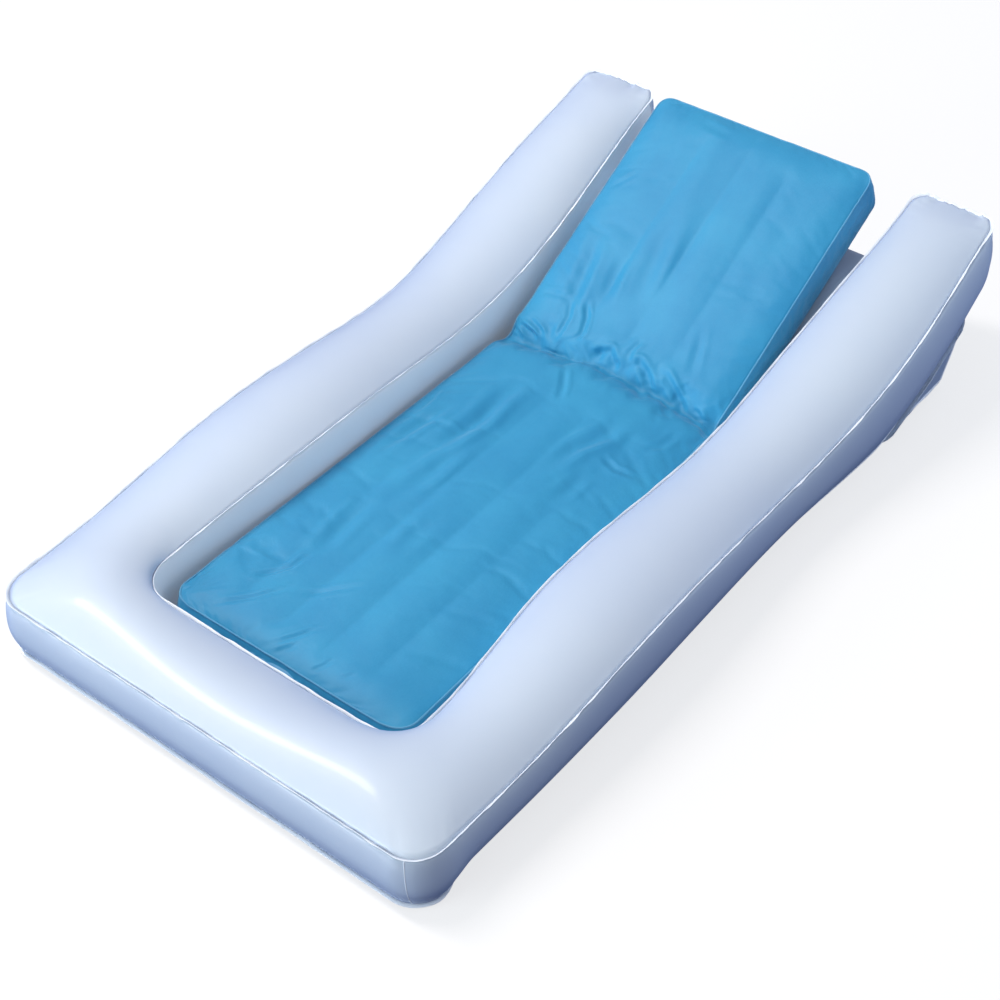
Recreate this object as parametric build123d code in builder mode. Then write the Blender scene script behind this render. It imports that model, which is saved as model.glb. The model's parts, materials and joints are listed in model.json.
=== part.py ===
"""Inflatable pool float: a U-shaped tube frame, a bolster, a floor sheet and a reclining mattress.

The float lies along Y, foot end at -Y, head end at +Y, resting on Z = 0, symmetric about X = 0
apart from its valves and zip slider. The frame's two arms point to +Y. All sizes are in mm.
"""
from build123d import *
import math
import os

os.makedirs("parts", exist_ok=True)

# ---------------------------------------------------------------- sheets and frame
film = 2.0  # sheet thickness
weld_gap = 0.02  # between two sheets that are welded face to face
weld_flange = 6.0  # how far the bottom sheet stands past the side strips
flange_step = 2.0  # how much less the top sheet stands past them

# station from the foot seam, outer half width, inner half width, height of the top seam
frame_table = [
    (0.0, 523.0, 334.0, 130.0),
    (300.0, 530.0, 324.0, 134.0),
    (600.0, 534.0, 310.0, 162.0),
    (900.0, 527.0, 312.0, 157.0),
    (1150.0, 526.0, 315.0, 148.0),
    (1400.0, 542.0, 315.0, 190.0),
    (1650.0, 543.0, 330.0, 267.0),
    (1900.0, 530.0, 342.0, 351.0),
]
stations, outer_half, inner_half, top_seam = zip(*frame_table)
foot_y = -stations[-1] / 2
head_y = stations[-1] / 2
top_slope = 85.0 / 250.0  # slope of the top seam at the arm ends

# underside of the arms (y, z): flat on the ground up to the first point, then rising
underside = [
    (500.0, 0.0), (580.0, 12.0), (657.0, 39.0), (735.0, 71.0),
    (814.0, 103.0), (880.0, 135.0), (965.0, 183.0),
]
underside_tangents = [(1, 0), (0.87, 0.49)]

opening_front = 181.0  # foot-side edge of the opening, from the foot seam
opening_half = 331.0
outer_corner = 66.0  # plan radii
opening_corner = 78.0
tip_corner = 30.0
opening_y = foot_y + opening_front
arm_end_mid = (outer_half[-1] + inner_half[-1]) / 2

# oversized blocks that the frame's plan and side view are cut from
block_base_z = -20
block_height = 480
block_half_width = 700
block_foot_y = -1000

# ---------------------------------------------------------------- mattress
recline = 28.5  # backrest angle above the seat, degrees
crease_y = 294.0
crease_z = 98.0
crease_gap = 4.0  # from the crease line to each pad's end face
seat_front_y = -747.0
seat_front_half = 297.0
seat_rear_half = 279.0
seat_bottom_z = 6.7
seat_top_z = 99.0
seat_edge = 12.0  # rounding of the seat pad's long edges
back_length = 660.0
back_depth = 105.0
back_half = 276.0
back_edge = 18.0
seat_front_corner = 58  # plan radii
back_head_corner = 34
crease_corner = 14
cover_wall = 2.0
cover_slack = 0.5
bladder_inset = cover_wall + cover_slack

lean = math.radians(recline)
up_back = Vector(0, math.cos(lean), math.sin(lean))  # direction up the backrest
back_normal = Vector(0, -math.sin(lean), math.cos(lean))  # out of its front surface
back_plane = Plane(origin=(0, crease_y, crease_z), x_dir=(1, 0, 0), z_dir=back_normal)


def on_back(x, up, out):
    """Point given across, up and out of the backrest's front surface."""
    return Vector(x, crease_y, crease_z) + up_back * up + back_normal * out


# ---------------------------------------------------------------- bolster
bolster_mid_half = 303.0  # half width of the full-height middle
bolster_full_half = 518.0  # half width including the wedges under the arms
bolster_corner = 24
bolster_arm_gap = 3  # from the wedges to the arms' underside
rear_low = Vector(0, 800, 2)  # ends of the sloping rear face
rear_high = Vector(0, 896, 156)
# side view (y, z)
bolster_outline = [
    (572, 2), (rear_low.Y, rear_low.Z), (rear_high.Y, rear_high.Z),
    (856, 213), (748, 213), (606, 136), (552, 62),
]

# ---------------------------------------------------------------- valve places and holes
collar_r = 11.0
panel_hole_r = collar_r + 0.2
cover_hole_r = 24.0
hole_start = 10  # cuts start this far outside the valve's origin
panel_hole_cut = 25
cover_hole_cut = 10.4

# origin on the sheet, x_dir towards the cap's hinge, z_dir outwards
rear_up = (rear_high - rear_low).normalized()
valve_planes = {
    "hull": Plane(origin=(-arm_end_mid, head_y, 262), x_dir=(0, 0, -1), z_dir=(0, 1, 0)),
    "bolster": Plane(
        origin=Vector(-150, 0, 0) + (rear_low + rear_high) * 0.5,
        x_dir=-rear_up,
        z_dir=Vector(0, rear_up.Z, -rear_up.Y),
    ),
    "seat": Plane(
        origin=(0, crease_y - crease_gap - bladder_inset, 50), x_dir=(0, 0, -1), z_dir=(0, 1, 0)
    ),
    "back": Plane(
        origin=on_back(-170, back_length - bladder_inset, -52), x_dir=-back_normal, z_dir=up_back
    ),
}


def save(name, part):
    """Label a finished piece and write its STEP file."""
    part.label = name
    export_step(part, "parts/" + name + ".step")


# ---------------------------------------------------------------- shared outlines
def corner_arc(side, center_x, center_y, radius, start, end):
    """Circular corner between two angles in degrees, mirrored across X = 0 for side -1."""
    angles = [math.radians(angle) for angle in (start, (start + end) / 2, end)]
    ThreePointArc(
        *[
            (side * (center_x + radius * math.cos(t)), center_y + radius * math.sin(t))
            for t in angles
        ]
    )


def frame_plan(grow):
    """Plan of the U-shaped frame, grown by grow on every side."""
    foot_x = outer_half[0] - outer_corner
    foot_corner_y = foot_y + outer_corner
    tip_y = head_y - tip_corner
    tip_out = outer_half[-1] - tip_corner
    tip_in = inner_half[-1] + tip_corner
    opening_x = opening_half - opening_corner
    opening_corner_y = opening_y + opening_corner

    outer = [(outer_half[0] + grow, foot_corner_y)]
    outer += [(w + grow, foot_y + s) for s, w in zip(stations[1:-1], outer_half[1:-1])]
    outer += [(outer_half[-1] + grow, tip_y)]
    inner = [(opening_half - grow, opening_corner_y)]
    inner += [(w - grow, foot_y + s) for s, w in zip(stations[2:-1], inner_half[2:-1])]
    inner += [(inner_half[-1] - grow, tip_y)]

    with BuildSketch() as plan:
        with BuildLine():
            for side in (1, -1):
                Line((0, foot_y - grow), (side * foot_x, foot_y - grow))
                corner_arc(side, foot_x, foot_corner_y, outer_corner + grow, -90, 0)
                Spline(*[(side * x, y) for x, y in outer], tangents=[(0, 1), (0, 1)])
                corner_arc(side, tip_out, tip_y, tip_corner + grow, 0, 90)
                corner_arc(side, tip_in, tip_y, tip_corner + grow, 90, 180)
                Line((side * tip_out, head_y + grow), (side * tip_in, head_y + grow))
                Spline(*[(side * x, y) for x, y in inner], tangents=[(0, 1), (0, 1)])
                corner_arc(side, opening_x, opening_corner_y, opening_corner - grow, -90, 0)
                Line((0, opening_y + grow), (side * opening_x, opening_y + grow))
        make_face()
    return plan.sketch


def under_line(rise):
    """Side view of the frame's underside, shifted up by rise; returns its two ends."""
    points = [(y, z + rise) for y, z in underside]
    start = (block_foot_y, rise)
    Line(start, points[0])
    Spline(*points, tangents=underside_tangents)
    return start, points[-1]


def top_line(rise):
    """Side view of the frame's top, shifted up by rise; returns its two ends."""
    points = [(foot_y + s, z + rise) for s, z in zip(stations, top_seam)]
    start = (block_foot_y, points[0][1])
    end_y = underside[-1][0]
    end = (end_y, points[-1][1] + top_slope * (end_y - head_y))
    Line(start, points[0])
    Spline(*points, tangents=[(1, 0), (1, top_slope)])
    Line(points[-1], end)
    return start, end


def side_band(lower, lower_rise, upper, upper_rise):
    """Side view of the float between two of its lines, each shifted up by its rise."""
    with BuildSketch() as band:
        with BuildLine():
            lower_start, lower_end = lower(lower_rise)
            upper_start, upper_end = upper(upper_rise)
            Line(lower_start, upper_start)
            Line(lower_end, upper_end)
        make_face()
    return band.sketch


# ---------------------------------------------------------------- frame: welded sheets
strip_split_y = head_y - tip_corner - 4  # the end panels wrap round the arms' rounded corners
end_split_y = strip_split_y + weld_gap
ring_split_y = -830  # between the outer and inner strips, in the foot tube
far_y = 1100
strip_cuts = {
    "outer": [
        (-block_half_width, -far_y),
        (block_half_width, -far_y),
        (block_half_width, strip_split_y),
        (arm_end_mid, strip_split_y),
        (arm_end_mid, ring_split_y),
        (-arm_end_mid, ring_split_y),
        (-arm_end_mid, strip_split_y),
        (-block_half_width, strip_split_y),
    ],
    "inner": [
        (-arm_end_mid, ring_split_y),
        (arm_end_mid, ring_split_y),
        (arm_end_mid, strip_split_y),
        (-arm_end_mid, strip_split_y),
    ],
    "end": [
        (-block_half_width, end_split_y),
        (block_half_width, end_split_y),
        (block_half_width, far_y),
        (-block_half_width, far_y),
    ],
}


def strip_plan(which):
    """Plan of one side strip: the film band round the frame, cut to one of strip_cuts."""
    with BuildSketch() as region:
        add(frame_plan(0))
        add(frame_plan(-film), mode=Mode.SUBTRACT)
        with BuildLine():
            Polyline(*strip_cuts[which], close=True)
        make_face(mode=Mode.INTERSECT)
    return region.sketch


def frame_piece(plan, plan_choice, band, hole_plane=None):
    """Block over plan(plan_choice), cut to a side band, with a valve hole if a plane is given."""
    with BuildPart() as piece:
        with BuildSketch(Plane.XY.offset(block_base_z)):
            add(plan(plan_choice))
        extrude(amount=block_height)
        with BuildSketch(Plane.YZ.offset(-block_half_width)):
            add(side_band(*band))
        extrude(amount=2 * block_half_width, mode=Mode.INTERSECT)
        if hole_plane is not None:
            with BuildSketch(hole_plane.offset(hole_start)):
                Circle(panel_hole_r)
            extrude(amount=-panel_hole_cut, mode=Mode.SUBTRACT)
    return piece.part


top_band = (top_line, -film, top_line, 0)
bottom_band = (under_line, 0, under_line, film)
wall_band = (under_line, film + weld_gap, top_line, -film - weld_gap)
save("hull_top_panel", frame_piece(frame_plan, weld_flange - flange_step, top_band))
save("hull_bottom_panel", frame_piece(frame_plan, weld_flange, bottom_band))
save("hull_outer_wall", frame_piece(strip_plan, "outer", wall_band))
save("hull_inner_wall", frame_piece(strip_plan, "inner", wall_band))
save("arm_end_panels", frame_piece(strip_plan, "end", wall_band, valve_planes["hull"]))

# ---------------------------------------------------------------- floor sheet
floor_base_z = film + weld_gap
floor_thickness = 1.6
floor_inset = 2  # from the edge of the opening
floor_rear_y = 470.0
floor_rear_half = 312.5


def floor_sheet():
    """Sheet across the opening, welded on top of the bottom sheet's inner flange."""
    corner_x = opening_half - opening_corner
    corner_y = opening_y + opening_corner
    corner_r = opening_corner - floor_inset
    front = opening_y + floor_inset
    right = [(opening_half - floor_inset, corner_y)]
    right += [(w - floor_inset, foot_y + s) for s, w in zip(stations[2:5], inner_half[2:5])]
    right += [(floor_rear_half, floor_rear_y)]
    left = [(-x, y) for x, y in reversed(right)]
    with BuildPart() as sheet:
        with BuildSketch(Plane.XY.offset(floor_base_z)):
            with BuildLine():
                Line((-corner_x, front), (corner_x, front))
                corner_arc(1, corner_x, corner_y, corner_r, -90, 0)
                Spline(*right, tangents=[(0, 1), (0, 1)])
                Line(right[-1], left[0])
                Spline(*left, tangents=[(0, -1), (0, -1)])
                corner_arc(-1, corner_x, corner_y, corner_r, 0, -90)
            make_face()
        extrude(amount=floor_thickness)
    return sheet.part


save("floor_sheet", floor_sheet())


# ---------------------------------------------------------------- bolster pieces
def bolster_profile(inset, under_arms):
    """Side view of the bolster: full height, or only the wedge below the arms."""
    with BuildSketch() as profile:
        with BuildLine():
            Polyline(*bolster_outline, close=True)
        make_face()
        fillet(profile.vertices(), bolster_corner)
        if inset:
            offset(amount=-inset, mode=Mode.REPLACE)
        if under_arms:
            # cut away everything above the arms' underside
            points = [(y, z - bolster_arm_gap - inset) for y, z in underside]
            cut_start = (450, -4 - inset)
            cut_top = 400
            with BuildLine():
                Line(cut_start, points[0])
                Spline(*points, tangents=underside_tangents)
                Polyline(points[-1], (points[-1][0], cut_top), (cut_start[0], cut_top), cut_start)
            make_face(mode=Mode.SUBTRACT)
    return profile.sketch


def bolster_solid(inset):
    """Solid bolster, shrunk by inset on every side."""
    with BuildPart() as solid:
        with BuildSketch(Plane.YZ.offset(-bolster_mid_half + inset)):
            add(bolster_profile(inset, False))
        extrude(amount=2 * (bolster_mid_half - inset))
        with BuildSketch(Plane.YZ.offset(-bolster_full_half + inset)):
            add(bolster_profile(inset, True))
        extrude(amount=2 * (bolster_full_half - inset))
    return solid.part


def bolster_shell():
    """Bolster skin with its valve hole."""
    with BuildPart() as shell:
        add(bolster_solid(0))
        add(bolster_solid(film), mode=Mode.SUBTRACT)
        with BuildSketch(valve_planes["bolster"].offset(hole_start)):
            Circle(panel_hole_r)
        extrude(amount=-panel_hole_cut, mode=Mode.SUBTRACT)
    return shell.part


def bolster_tie_web():
    """Upright web that ties the bolster's top to its base."""
    web_half = 270
    web_y = 715
    with BuildPart() as web:
        with BuildSketch(Plane.YZ.offset(-web_half)):
            add(bolster_profile(film + weld_gap, False))
        extrude(amount=2 * web_half)
        with BuildSketch(Plane.XY.offset(-10)):
            with Locations((0, web_y)):
                Rectangle(2 * web_half, film)
        extrude(amount=300, mode=Mode.INTERSECT)
    return web.part


save("bolster_shell", bolster_shell())
save("bolster_tie_web", bolster_tie_web())


# ---------------------------------------------------------------- mattress pads
def pad_plan(low_end, high_end, inset):
    """Four-sided plan between two ends along Y, each given as (y, half width, corner radius)."""
    low_y, low_half, low_corner = low_end
    high_y, high_half, high_corner = high_end
    with BuildSketch() as plan:
        with BuildLine():
            Polyline(
                (-low_half, low_y),
                (low_half, low_y),
                (high_half, high_y),
                (-high_half, high_y),
                close=True,
            )
        make_face()
        fillet(plan.vertices().group_by(Axis.Y)[0], low_corner)
        fillet(plan.vertices().group_by(Axis.Y)[-1], high_corner)
        if inset:
            offset(amount=-inset, mode=Mode.REPLACE)
    return plan.sketch


def seat_plan(inset):
    """Plan of the seat pad, wider at the foot end."""
    foot_end = (seat_front_y, seat_front_half, seat_front_corner)
    crease_end = (crease_y - crease_gap, seat_rear_half, crease_corner)
    return pad_plan(foot_end, crease_end, inset)


def back_plan(inset):
    """Plan of the backrest pad in its own plane, Y running up the backrest from the crease."""
    crease_end = (crease_gap, back_half, crease_corner)
    head_end = (back_length, back_half, back_head_corner)
    return pad_plan(crease_end, head_end, inset)


def pad(plan, plane, low, high, inset, edge):
    """Solid pad between two heights over plane, shrunk by inset, with rounded long edges."""
    with BuildPart() as block:
        with BuildSketch(plane.offset(low + inset)):
            add(plan(inset))
        extrude(amount=high - low - 2 * inset)
        axis = Axis(plane.origin, plane.z_dir)
        rims = block.faces().filter_by(lambda f: f.is_planar).sort_by(axis)
        fillet(rims[0].edges() + rims[-1].edges(), edge - inset)
    return block.part


def seat_pad(inset):
    return pad(seat_plan, Plane.XY, seat_bottom_z, seat_top_z, inset, seat_edge)


def back_pad(inset):
    return pad(back_plan, back_plane, -back_depth, 0, inset, back_edge)


def pad_shell(solid_pad, inset, wall, valve_plane, hole_r, hole_cut):
    """Hollow pad with a round valve hole in one end."""
    with BuildPart() as shell:
        add(solid_pad(inset))
        add(solid_pad(inset + wall), mode=Mode.SUBTRACT)
        with BuildSketch(valve_plane.offset(hole_start)):
            Circle(hole_r)
        extrude(amount=-hole_cut, mode=Mode.SUBTRACT)
    return shell.part


def pad_cover(solid_pad, valve_plane):
    return pad_shell(solid_pad, 0, cover_wall, valve_plane, cover_hole_r, cover_hole_cut)


def pad_bladder(solid_pad, valve_plane):
    return pad_shell(
        solid_pad, bladder_inset, film, valve_plane, panel_hole_r, panel_hole_cut
    )


def tie_webs(solid_pad, plane, height, web_places, web_length):
    """Lengthwise webs inside a bladder, cut from a block of the given height over plane."""
    with BuildPart() as webs:
        add(solid_pad(bladder_inset + film + weld_gap))
        with BuildSketch(plane):
            with Locations(*web_places):
                Rectangle(film, web_length)
        extrude(amount=height, mode=Mode.INTERSECT)
    return webs.part


zip_up = 600.0  # the zip's place up the backrest


def back_cover():
    """Backrest cover with a slot across its rear face for the zip."""
    outside = 5  # the cut starts this far behind the rear face
    with BuildPart() as cover:
        add(pad_cover(back_pad, valve_planes["back"]))
        with BuildSketch(back_plane.offset(-back_depth - outside)):
            with Locations((0, zip_up)):
                Rectangle(400, 3)
        extrude(amount=outside + cover_wall + 0.3, mode=Mode.SUBTRACT)
    return cover.part


seat_web_places = [(x, -250) for x in (-165, -55, 55, 165)]
back_web_places = [(x, 320) for x in (-110, 0, 110)]
save("seat_cover", pad_cover(seat_pad, valve_planes["seat"]))
save("seat_bladder", pad_bladder(seat_pad, valve_planes["seat"]))
save("seat_tie_webs", tie_webs(seat_pad, Plane.XY, 200, seat_web_places, 860))
save("back_cover", back_cover())
save("back_bladder", pad_bladder(back_pad, valve_planes["back"]))
save("back_tie_webs", tie_webs(back_pad, back_plane.offset(-200), 300, back_web_places, 500))


# ---------------------------------------------------------------- crease strip and tapes
def hinge_web():
    """Strip standing in the crease between the two pads."""
    with BuildPart() as web:
        with BuildSketch(Plane.XZ.offset(-(crease_y - crease_gap + 0.1))):
            with Locations((0, 84)):
                RectangleRounded(520, 12, 3)
        extrude(amount=-1.6)
    return web.part


def tape_pair(base_z, width, length, thickness):
    """Two flat strips side by side under the seat."""
    with BuildPart() as tapes:
        with BuildSketch(Plane.XY.offset(base_z)):
            with Locations((-150, -250), (150, -250)):
                RectangleRounded(width, length, 4)
        extrude(amount=thickness)
    return tapes.part


# hook-and-loop strips: hooks on the floor sheet, loops on the seat cover
hook_base_z = floor_base_z + floor_thickness + weld_gap
loop_base_z = 4.9
loop_thickness = seat_bottom_z - loop_base_z - weld_gap
save("hinge_web", hinge_web())
save("floor_hook_tapes", tape_pair(hook_base_z, 40, 500, 1.2))
save("cover_loop_tapes", tape_pair(loop_base_z, 44, 504, loop_thickness))

# ---------------------------------------------------------------- zip in the back cover
# planes on the rear face: X across the float, Z out of the rear face
zip_plane = Plane(origin=on_back(0, zip_up, -back_depth), x_dir=(1, 0, 0), z_dir=-back_normal)
slider_x = -190.0
slider_plane = Plane(
    origin=on_back(slider_x, zip_up, -back_depth), x_dir=(1, 0, 0), z_dir=-back_normal
)
# plane through the axis of the pull's pin, which runs across the zip
pin_height = 6.0
pin_half = 3.0
pin_plane = Plane(
    origin=slider_plane.origin + slider_plane.z_dir * pin_height,
    x_dir=(1, 0, 0),
    z_dir=slider_plane.y_dir,
)


def zip_tape():
    """Two tapes with a ribbed coil row along each inner edge."""
    row_y = 0.9
    tape_y = 6.3
    with BuildPart() as tape:
        with BuildSketch(zip_plane.offset(weld_gap)):
            with Locations((0, tape_y), (0, -tape_y)):
                Rectangle(440, 10.8)
        extrude(amount=0.9)
        with BuildSketch(zip_plane.offset(0.8)):
            with Locations((0, row_y), (0, -row_y)):
                Rectangle(420, 1.5)
        extrude(amount=1.5)
        # shallow ribs across each row
        with BuildSketch(zip_plane.offset(2.25)):
            with Locations((0, row_y), (0, -row_y)):
                with GridLocations(3.5, 0, 119, 1):
                    Rectangle(1.6, 1.3)
        extrude(amount=0.35)
    return tape.part


def zip_slider():
    """Slider plate with a side rail under each edge, and two lugs that hold the pin."""
    rail_y = 3.6
    lug_y = 2.7
    with BuildPart() as slider:
        with BuildSketch(slider_plane.offset(2.85)):
            RectangleRounded(13, 8.6, 2)
        extrude(amount=1.3)
        with BuildSketch(slider_plane.offset(1.15)):
            with Locations((0, rail_y), (0, -rail_y)):
                Rectangle(11, 1.2)
        extrude(amount=1.9)
        with BuildSketch(slider_plane.offset(4.0)):
            with Locations((0, lug_y), (0, -lug_y)):
                Rectangle(3.2, 1.0)
        extrude(amount=3.0)
        with BuildSketch(pin_plane.offset(-pin_half)):
            Circle(0.75)
        extrude(amount=2 * pin_half)
    return slider.part


def zip_pull():
    """Flat slotted tab with an eye round the slider's pin."""
    tab_thickness = 1.0
    tab_width = 3.9
    with BuildPart() as pull:
        with BuildSketch(slider_plane.offset(pin_height - tab_thickness / 2)):
            with Locations((12, 0)):
                RectangleRounded(22, tab_width, 1.2)
            with Locations((16.5, 0)):
                RectangleRounded(9, 1.6, 0.7, mode=Mode.SUBTRACT)
        extrude(amount=tab_thickness)
        with BuildSketch(pin_plane.offset(-tab_width / 2)):
            Circle(1.6)
        extrude(amount=tab_width)
        with BuildSketch(pin_plane.offset(-pin_half)):
            Circle(0.9)
        extrude(amount=2 * pin_half, mode=Mode.SUBTRACT)
    return pull.part


save("zip_tape", zip_tape())
save("zip_slider", zip_slider())
save("zip_pull", zip_pull())

# ---------------------------------------------------------------- inflation valves
# radii, and heights along the valve's own axis from the sheet
valve_flange_r = 22.0
valve_flange_top = 1.5
collar_bore_r = 8.15
collar_depth = 16.0
stem_r = 8.0
stem_top = 2.0
stem_depth = 20.0
rim_r = 11.0
mouth_r = 6.5
mouth_depth = 6.5
nozzle_r = 5.5  # bore that the pump nozzle enters
cap_r = 10.8
plug_top_r = 6.2
plug_end_r = 5.2
tab_width = 5  # tabs of the stem and cap on the hinge side


def valve_base(plane):
    """Round flange welded on the sheet, with a collar standing into the chamber."""
    with BuildPart() as base:
        with BuildSketch(plane.offset(weld_gap)):
            Circle(valve_flange_r)
            Circle(collar_bore_r, mode=Mode.SUBTRACT)
        extrude(amount=valve_flange_top - weld_gap)
        with BuildSketch(plane.offset(-collar_depth)):
            Circle(collar_r)
            Circle(collar_bore_r, mode=Mode.SUBTRACT)
        extrude(amount=collar_depth + 0.5)
        circles = base.edges().filter_by(GeomType.CIRCLE)
        flange_rims = circles.filter_by(lambda e: abs(e.radius - valve_flange_r) < 0.01)
        chamfer(flange_rims.sort_by(Axis(plane.origin, plane.z_dir))[-1], 0.6)
    return base.part


def valve_stem(plane):
    """Tube inside the collar, with a rim and a mouth for the plug, wider than the nozzle's bore."""
    with BuildPart() as stem:
        with BuildSketch(plane.offset(-stem_depth)):
            Circle(stem_r)
        extrude(amount=stem_depth + stem_top)
        with BuildSketch(plane.offset(1.6)):
            Circle(rim_r)
            with Locations((rim_r - 0.5, 0)):
                Rectangle(2.6, tab_width)
        extrude(amount=1.5)
        with BuildSketch(plane.offset(-stem_depth - 1)):
            Circle(nozzle_r)
        extrude(amount=stem_depth + 10, mode=Mode.SUBTRACT)
        with BuildSketch(plane.offset(-mouth_depth)):
            Circle(mouth_r)
        extrude(amount=mouth_depth + 5, mode=Mode.SUBTRACT)
    return stem.part


def valve_flap(plane):
    """Thin disc that closes the stem's inner end."""
    with BuildPart() as flap:
        with BuildSketch(plane.offset(-stem_depth - 1.0)):
            Circle(6.2)
            with Locations((6.0, 0)):
                Rectangle(1.2, 4)
        extrude(amount=0.85)
    return flap.part


def valve_cap(plane):
    """Disc with a tab on the hinge side, a rounded tab opposite, and a hollow tapered plug."""
    with BuildPart() as cap:
        with BuildSketch(plane.offset(3.25)):
            Circle(cap_r)
            with Locations((10.4, 0)):
                Rectangle(3.2, tab_width)
            with Locations((-cap_r, 0)):
                SlotOverall(7, 4.5)
        extrude(amount=1.8)
        with BuildSketch(plane.offset(3.3)):
            Circle(plug_top_r)
        with BuildSketch(plane.offset(-2.5)):
            Circle(plug_end_r)
        loft()
        with BuildSketch(plane.offset(-3.0)):
            Circle(3.6)
        extrude(amount=4.6, mode=Mode.SUBTRACT)
    return cap.part


for place, plane in valve_planes.items():
    save(place + "_valve_base", valve_base(plane))
    save(place + "_valve_stem", valve_stem(plane))
    save(place + "_valve_flap", valve_flap(plane))
    save(place + "_valve_cap", valve_cap(plane))
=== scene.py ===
"""Inflatable lounger: a U-shaped air frame round a fabric mattress, with a bolster at the head.

Metres, z up, ground at z = 0. The lounger is symmetric about x = 0. The frame's closed foot end
is at y = -0.95 and its two arms end at y = +0.95, where they rise over the bolster. The mattress
lies in the opening between the arms; its backrest hinges about an x axis and leans towards +y.
"""
import itertools
import json
import math

import bmesh
import bpy
import numpy as np
from mathutils import Matrix, Vector

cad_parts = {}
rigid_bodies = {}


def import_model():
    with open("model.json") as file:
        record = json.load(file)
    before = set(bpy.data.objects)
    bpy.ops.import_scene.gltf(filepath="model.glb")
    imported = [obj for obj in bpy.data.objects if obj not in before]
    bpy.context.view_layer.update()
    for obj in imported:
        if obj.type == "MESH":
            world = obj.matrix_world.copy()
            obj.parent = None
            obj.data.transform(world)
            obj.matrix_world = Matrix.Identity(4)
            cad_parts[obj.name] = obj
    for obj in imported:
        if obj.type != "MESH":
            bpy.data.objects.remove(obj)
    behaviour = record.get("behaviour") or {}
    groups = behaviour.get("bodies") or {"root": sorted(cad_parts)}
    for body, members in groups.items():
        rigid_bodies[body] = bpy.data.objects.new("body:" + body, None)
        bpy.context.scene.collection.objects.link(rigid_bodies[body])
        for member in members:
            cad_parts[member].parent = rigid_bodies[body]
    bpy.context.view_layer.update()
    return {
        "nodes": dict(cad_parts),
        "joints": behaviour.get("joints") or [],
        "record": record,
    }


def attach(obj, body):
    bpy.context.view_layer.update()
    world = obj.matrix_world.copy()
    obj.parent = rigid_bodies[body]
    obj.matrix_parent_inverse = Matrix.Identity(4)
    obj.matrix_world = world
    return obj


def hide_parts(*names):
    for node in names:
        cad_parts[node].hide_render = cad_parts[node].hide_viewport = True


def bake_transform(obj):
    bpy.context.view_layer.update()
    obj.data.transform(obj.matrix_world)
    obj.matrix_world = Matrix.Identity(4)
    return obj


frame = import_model()
NODES = frame["nodes"]
MM = 0.001


# ---- numbers and noise ---------------------------------------------------------------
def cubic_spline(knots, values, start_slope=None, end_slope=None):
    """Cubic spline, straight beyond its ends; an end without a slope is natural."""
    knots, values = np.asarray(knots, float), np.asarray(values, float)
    count = len(knots)
    gap = np.diff(knots)
    secant = np.diff(values) / gap
    matrix, target = np.zeros((count, count)), np.zeros(count)
    for i in range(1, count - 1):
        matrix[i, i - 1 : i + 2] = gap[i - 1], 2 * (gap[i - 1] + gap[i]), gap[i]
        target[i] = 6 * (secant[i] - secant[i - 1])
    if start_slope is None:
        matrix[0, 0] = 1
    else:
        matrix[0, :2] = 2 * gap[0], gap[0]
        target[0] = 6 * (secant[0] - start_slope)
    if end_slope is None:
        matrix[-1, -1] = 1
    else:
        matrix[-1, -2:] = gap[-1], 2 * gap[-1]
        target[-1] = 6 * (end_slope - secant[-1])
    bend = np.linalg.solve(matrix, target)
    first_slope = secant[0] - gap[0] * (2 * bend[0] + bend[1]) / 6
    last_slope = secant[-1] + gap[-1] * (bend[-2] + 2 * bend[-1]) / 6

    def evaluate(x):
        x = np.asarray(x, float)
        i = np.clip(np.searchsorted(knots, x) - 1, 0, count - 2)
        ahead, behind, width = knots[i + 1] - x, x - knots[i], gap[i]
        result = (
            (bend[i] * ahead**3 + bend[i + 1] * behind**3) / (6 * width)
            + (values[i] / width - bend[i] * width / 6) * ahead
            + (values[i + 1] / width - bend[i + 1] * width / 6) * behind
        )
        result = np.where(x < knots[0], values[0] + first_slope * (x - knots[0]), result)
        return np.where(x > knots[-1], values[-1] + last_slope * (x - knots[-1]), result)

    return evaluate


def ease(value, start=0, span=1):
    """Smooth step from 0 at start to 1 at start + span."""
    share = np.clip((value - start) / span, 0, 1)
    return share * share * (3 - 2 * share)


def bell(distance, width):
    return np.exp(-((distance / width) ** 2))


def edge_fade(distance, decay, rise):
    """Zero on an edge, full a short rise away from it, then dying out over decay."""
    return np.exp(-distance / decay) * np.minimum(1, distance / rise)


def unit(vectors):
    return vectors / np.maximum(np.linalg.norm(vectors, axis=-1, keepdims=True), 1e-12)


def arc_length(points):
    steps = np.linalg.norm(np.diff(points, axis=0), axis=1)
    return np.concatenate([[0], np.cumsum(steps)])


def ring_tangents(ring):
    return unit(np.roll(ring, -1, 0) - np.roll(ring, 1, 0))


def outward(tangents):
    """Plan normals on the right-hand side of plan tangents."""
    return np.column_stack([tangents[:, 1], -tangents[:, 0]])


def soften(ring, passes, directions=False):
    """Averages each value of a closed ring with its neighbours."""
    for _ in range(passes):
        ring = 0.25 * np.roll(ring, 1, 0) + 0.5 * ring + 0.25 * np.roll(ring, -1, 0)
        if directions:
            ring = unit(ring)
    return ring


def octave_sum(layer, seed, seed_step, octaves):
    """Sum of noise layers, each half as strong and half as large as the last, in -1..1."""
    total, weight, weights = 0.0, 1.0, 0.0
    for octave in range(octaves):
        rng = np.random.RandomState(seed + seed_step * octave)
        total = total + weight * layer(rng, 2**octave)
        weights += weight
        weight *= 0.5
    return total / weights


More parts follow.
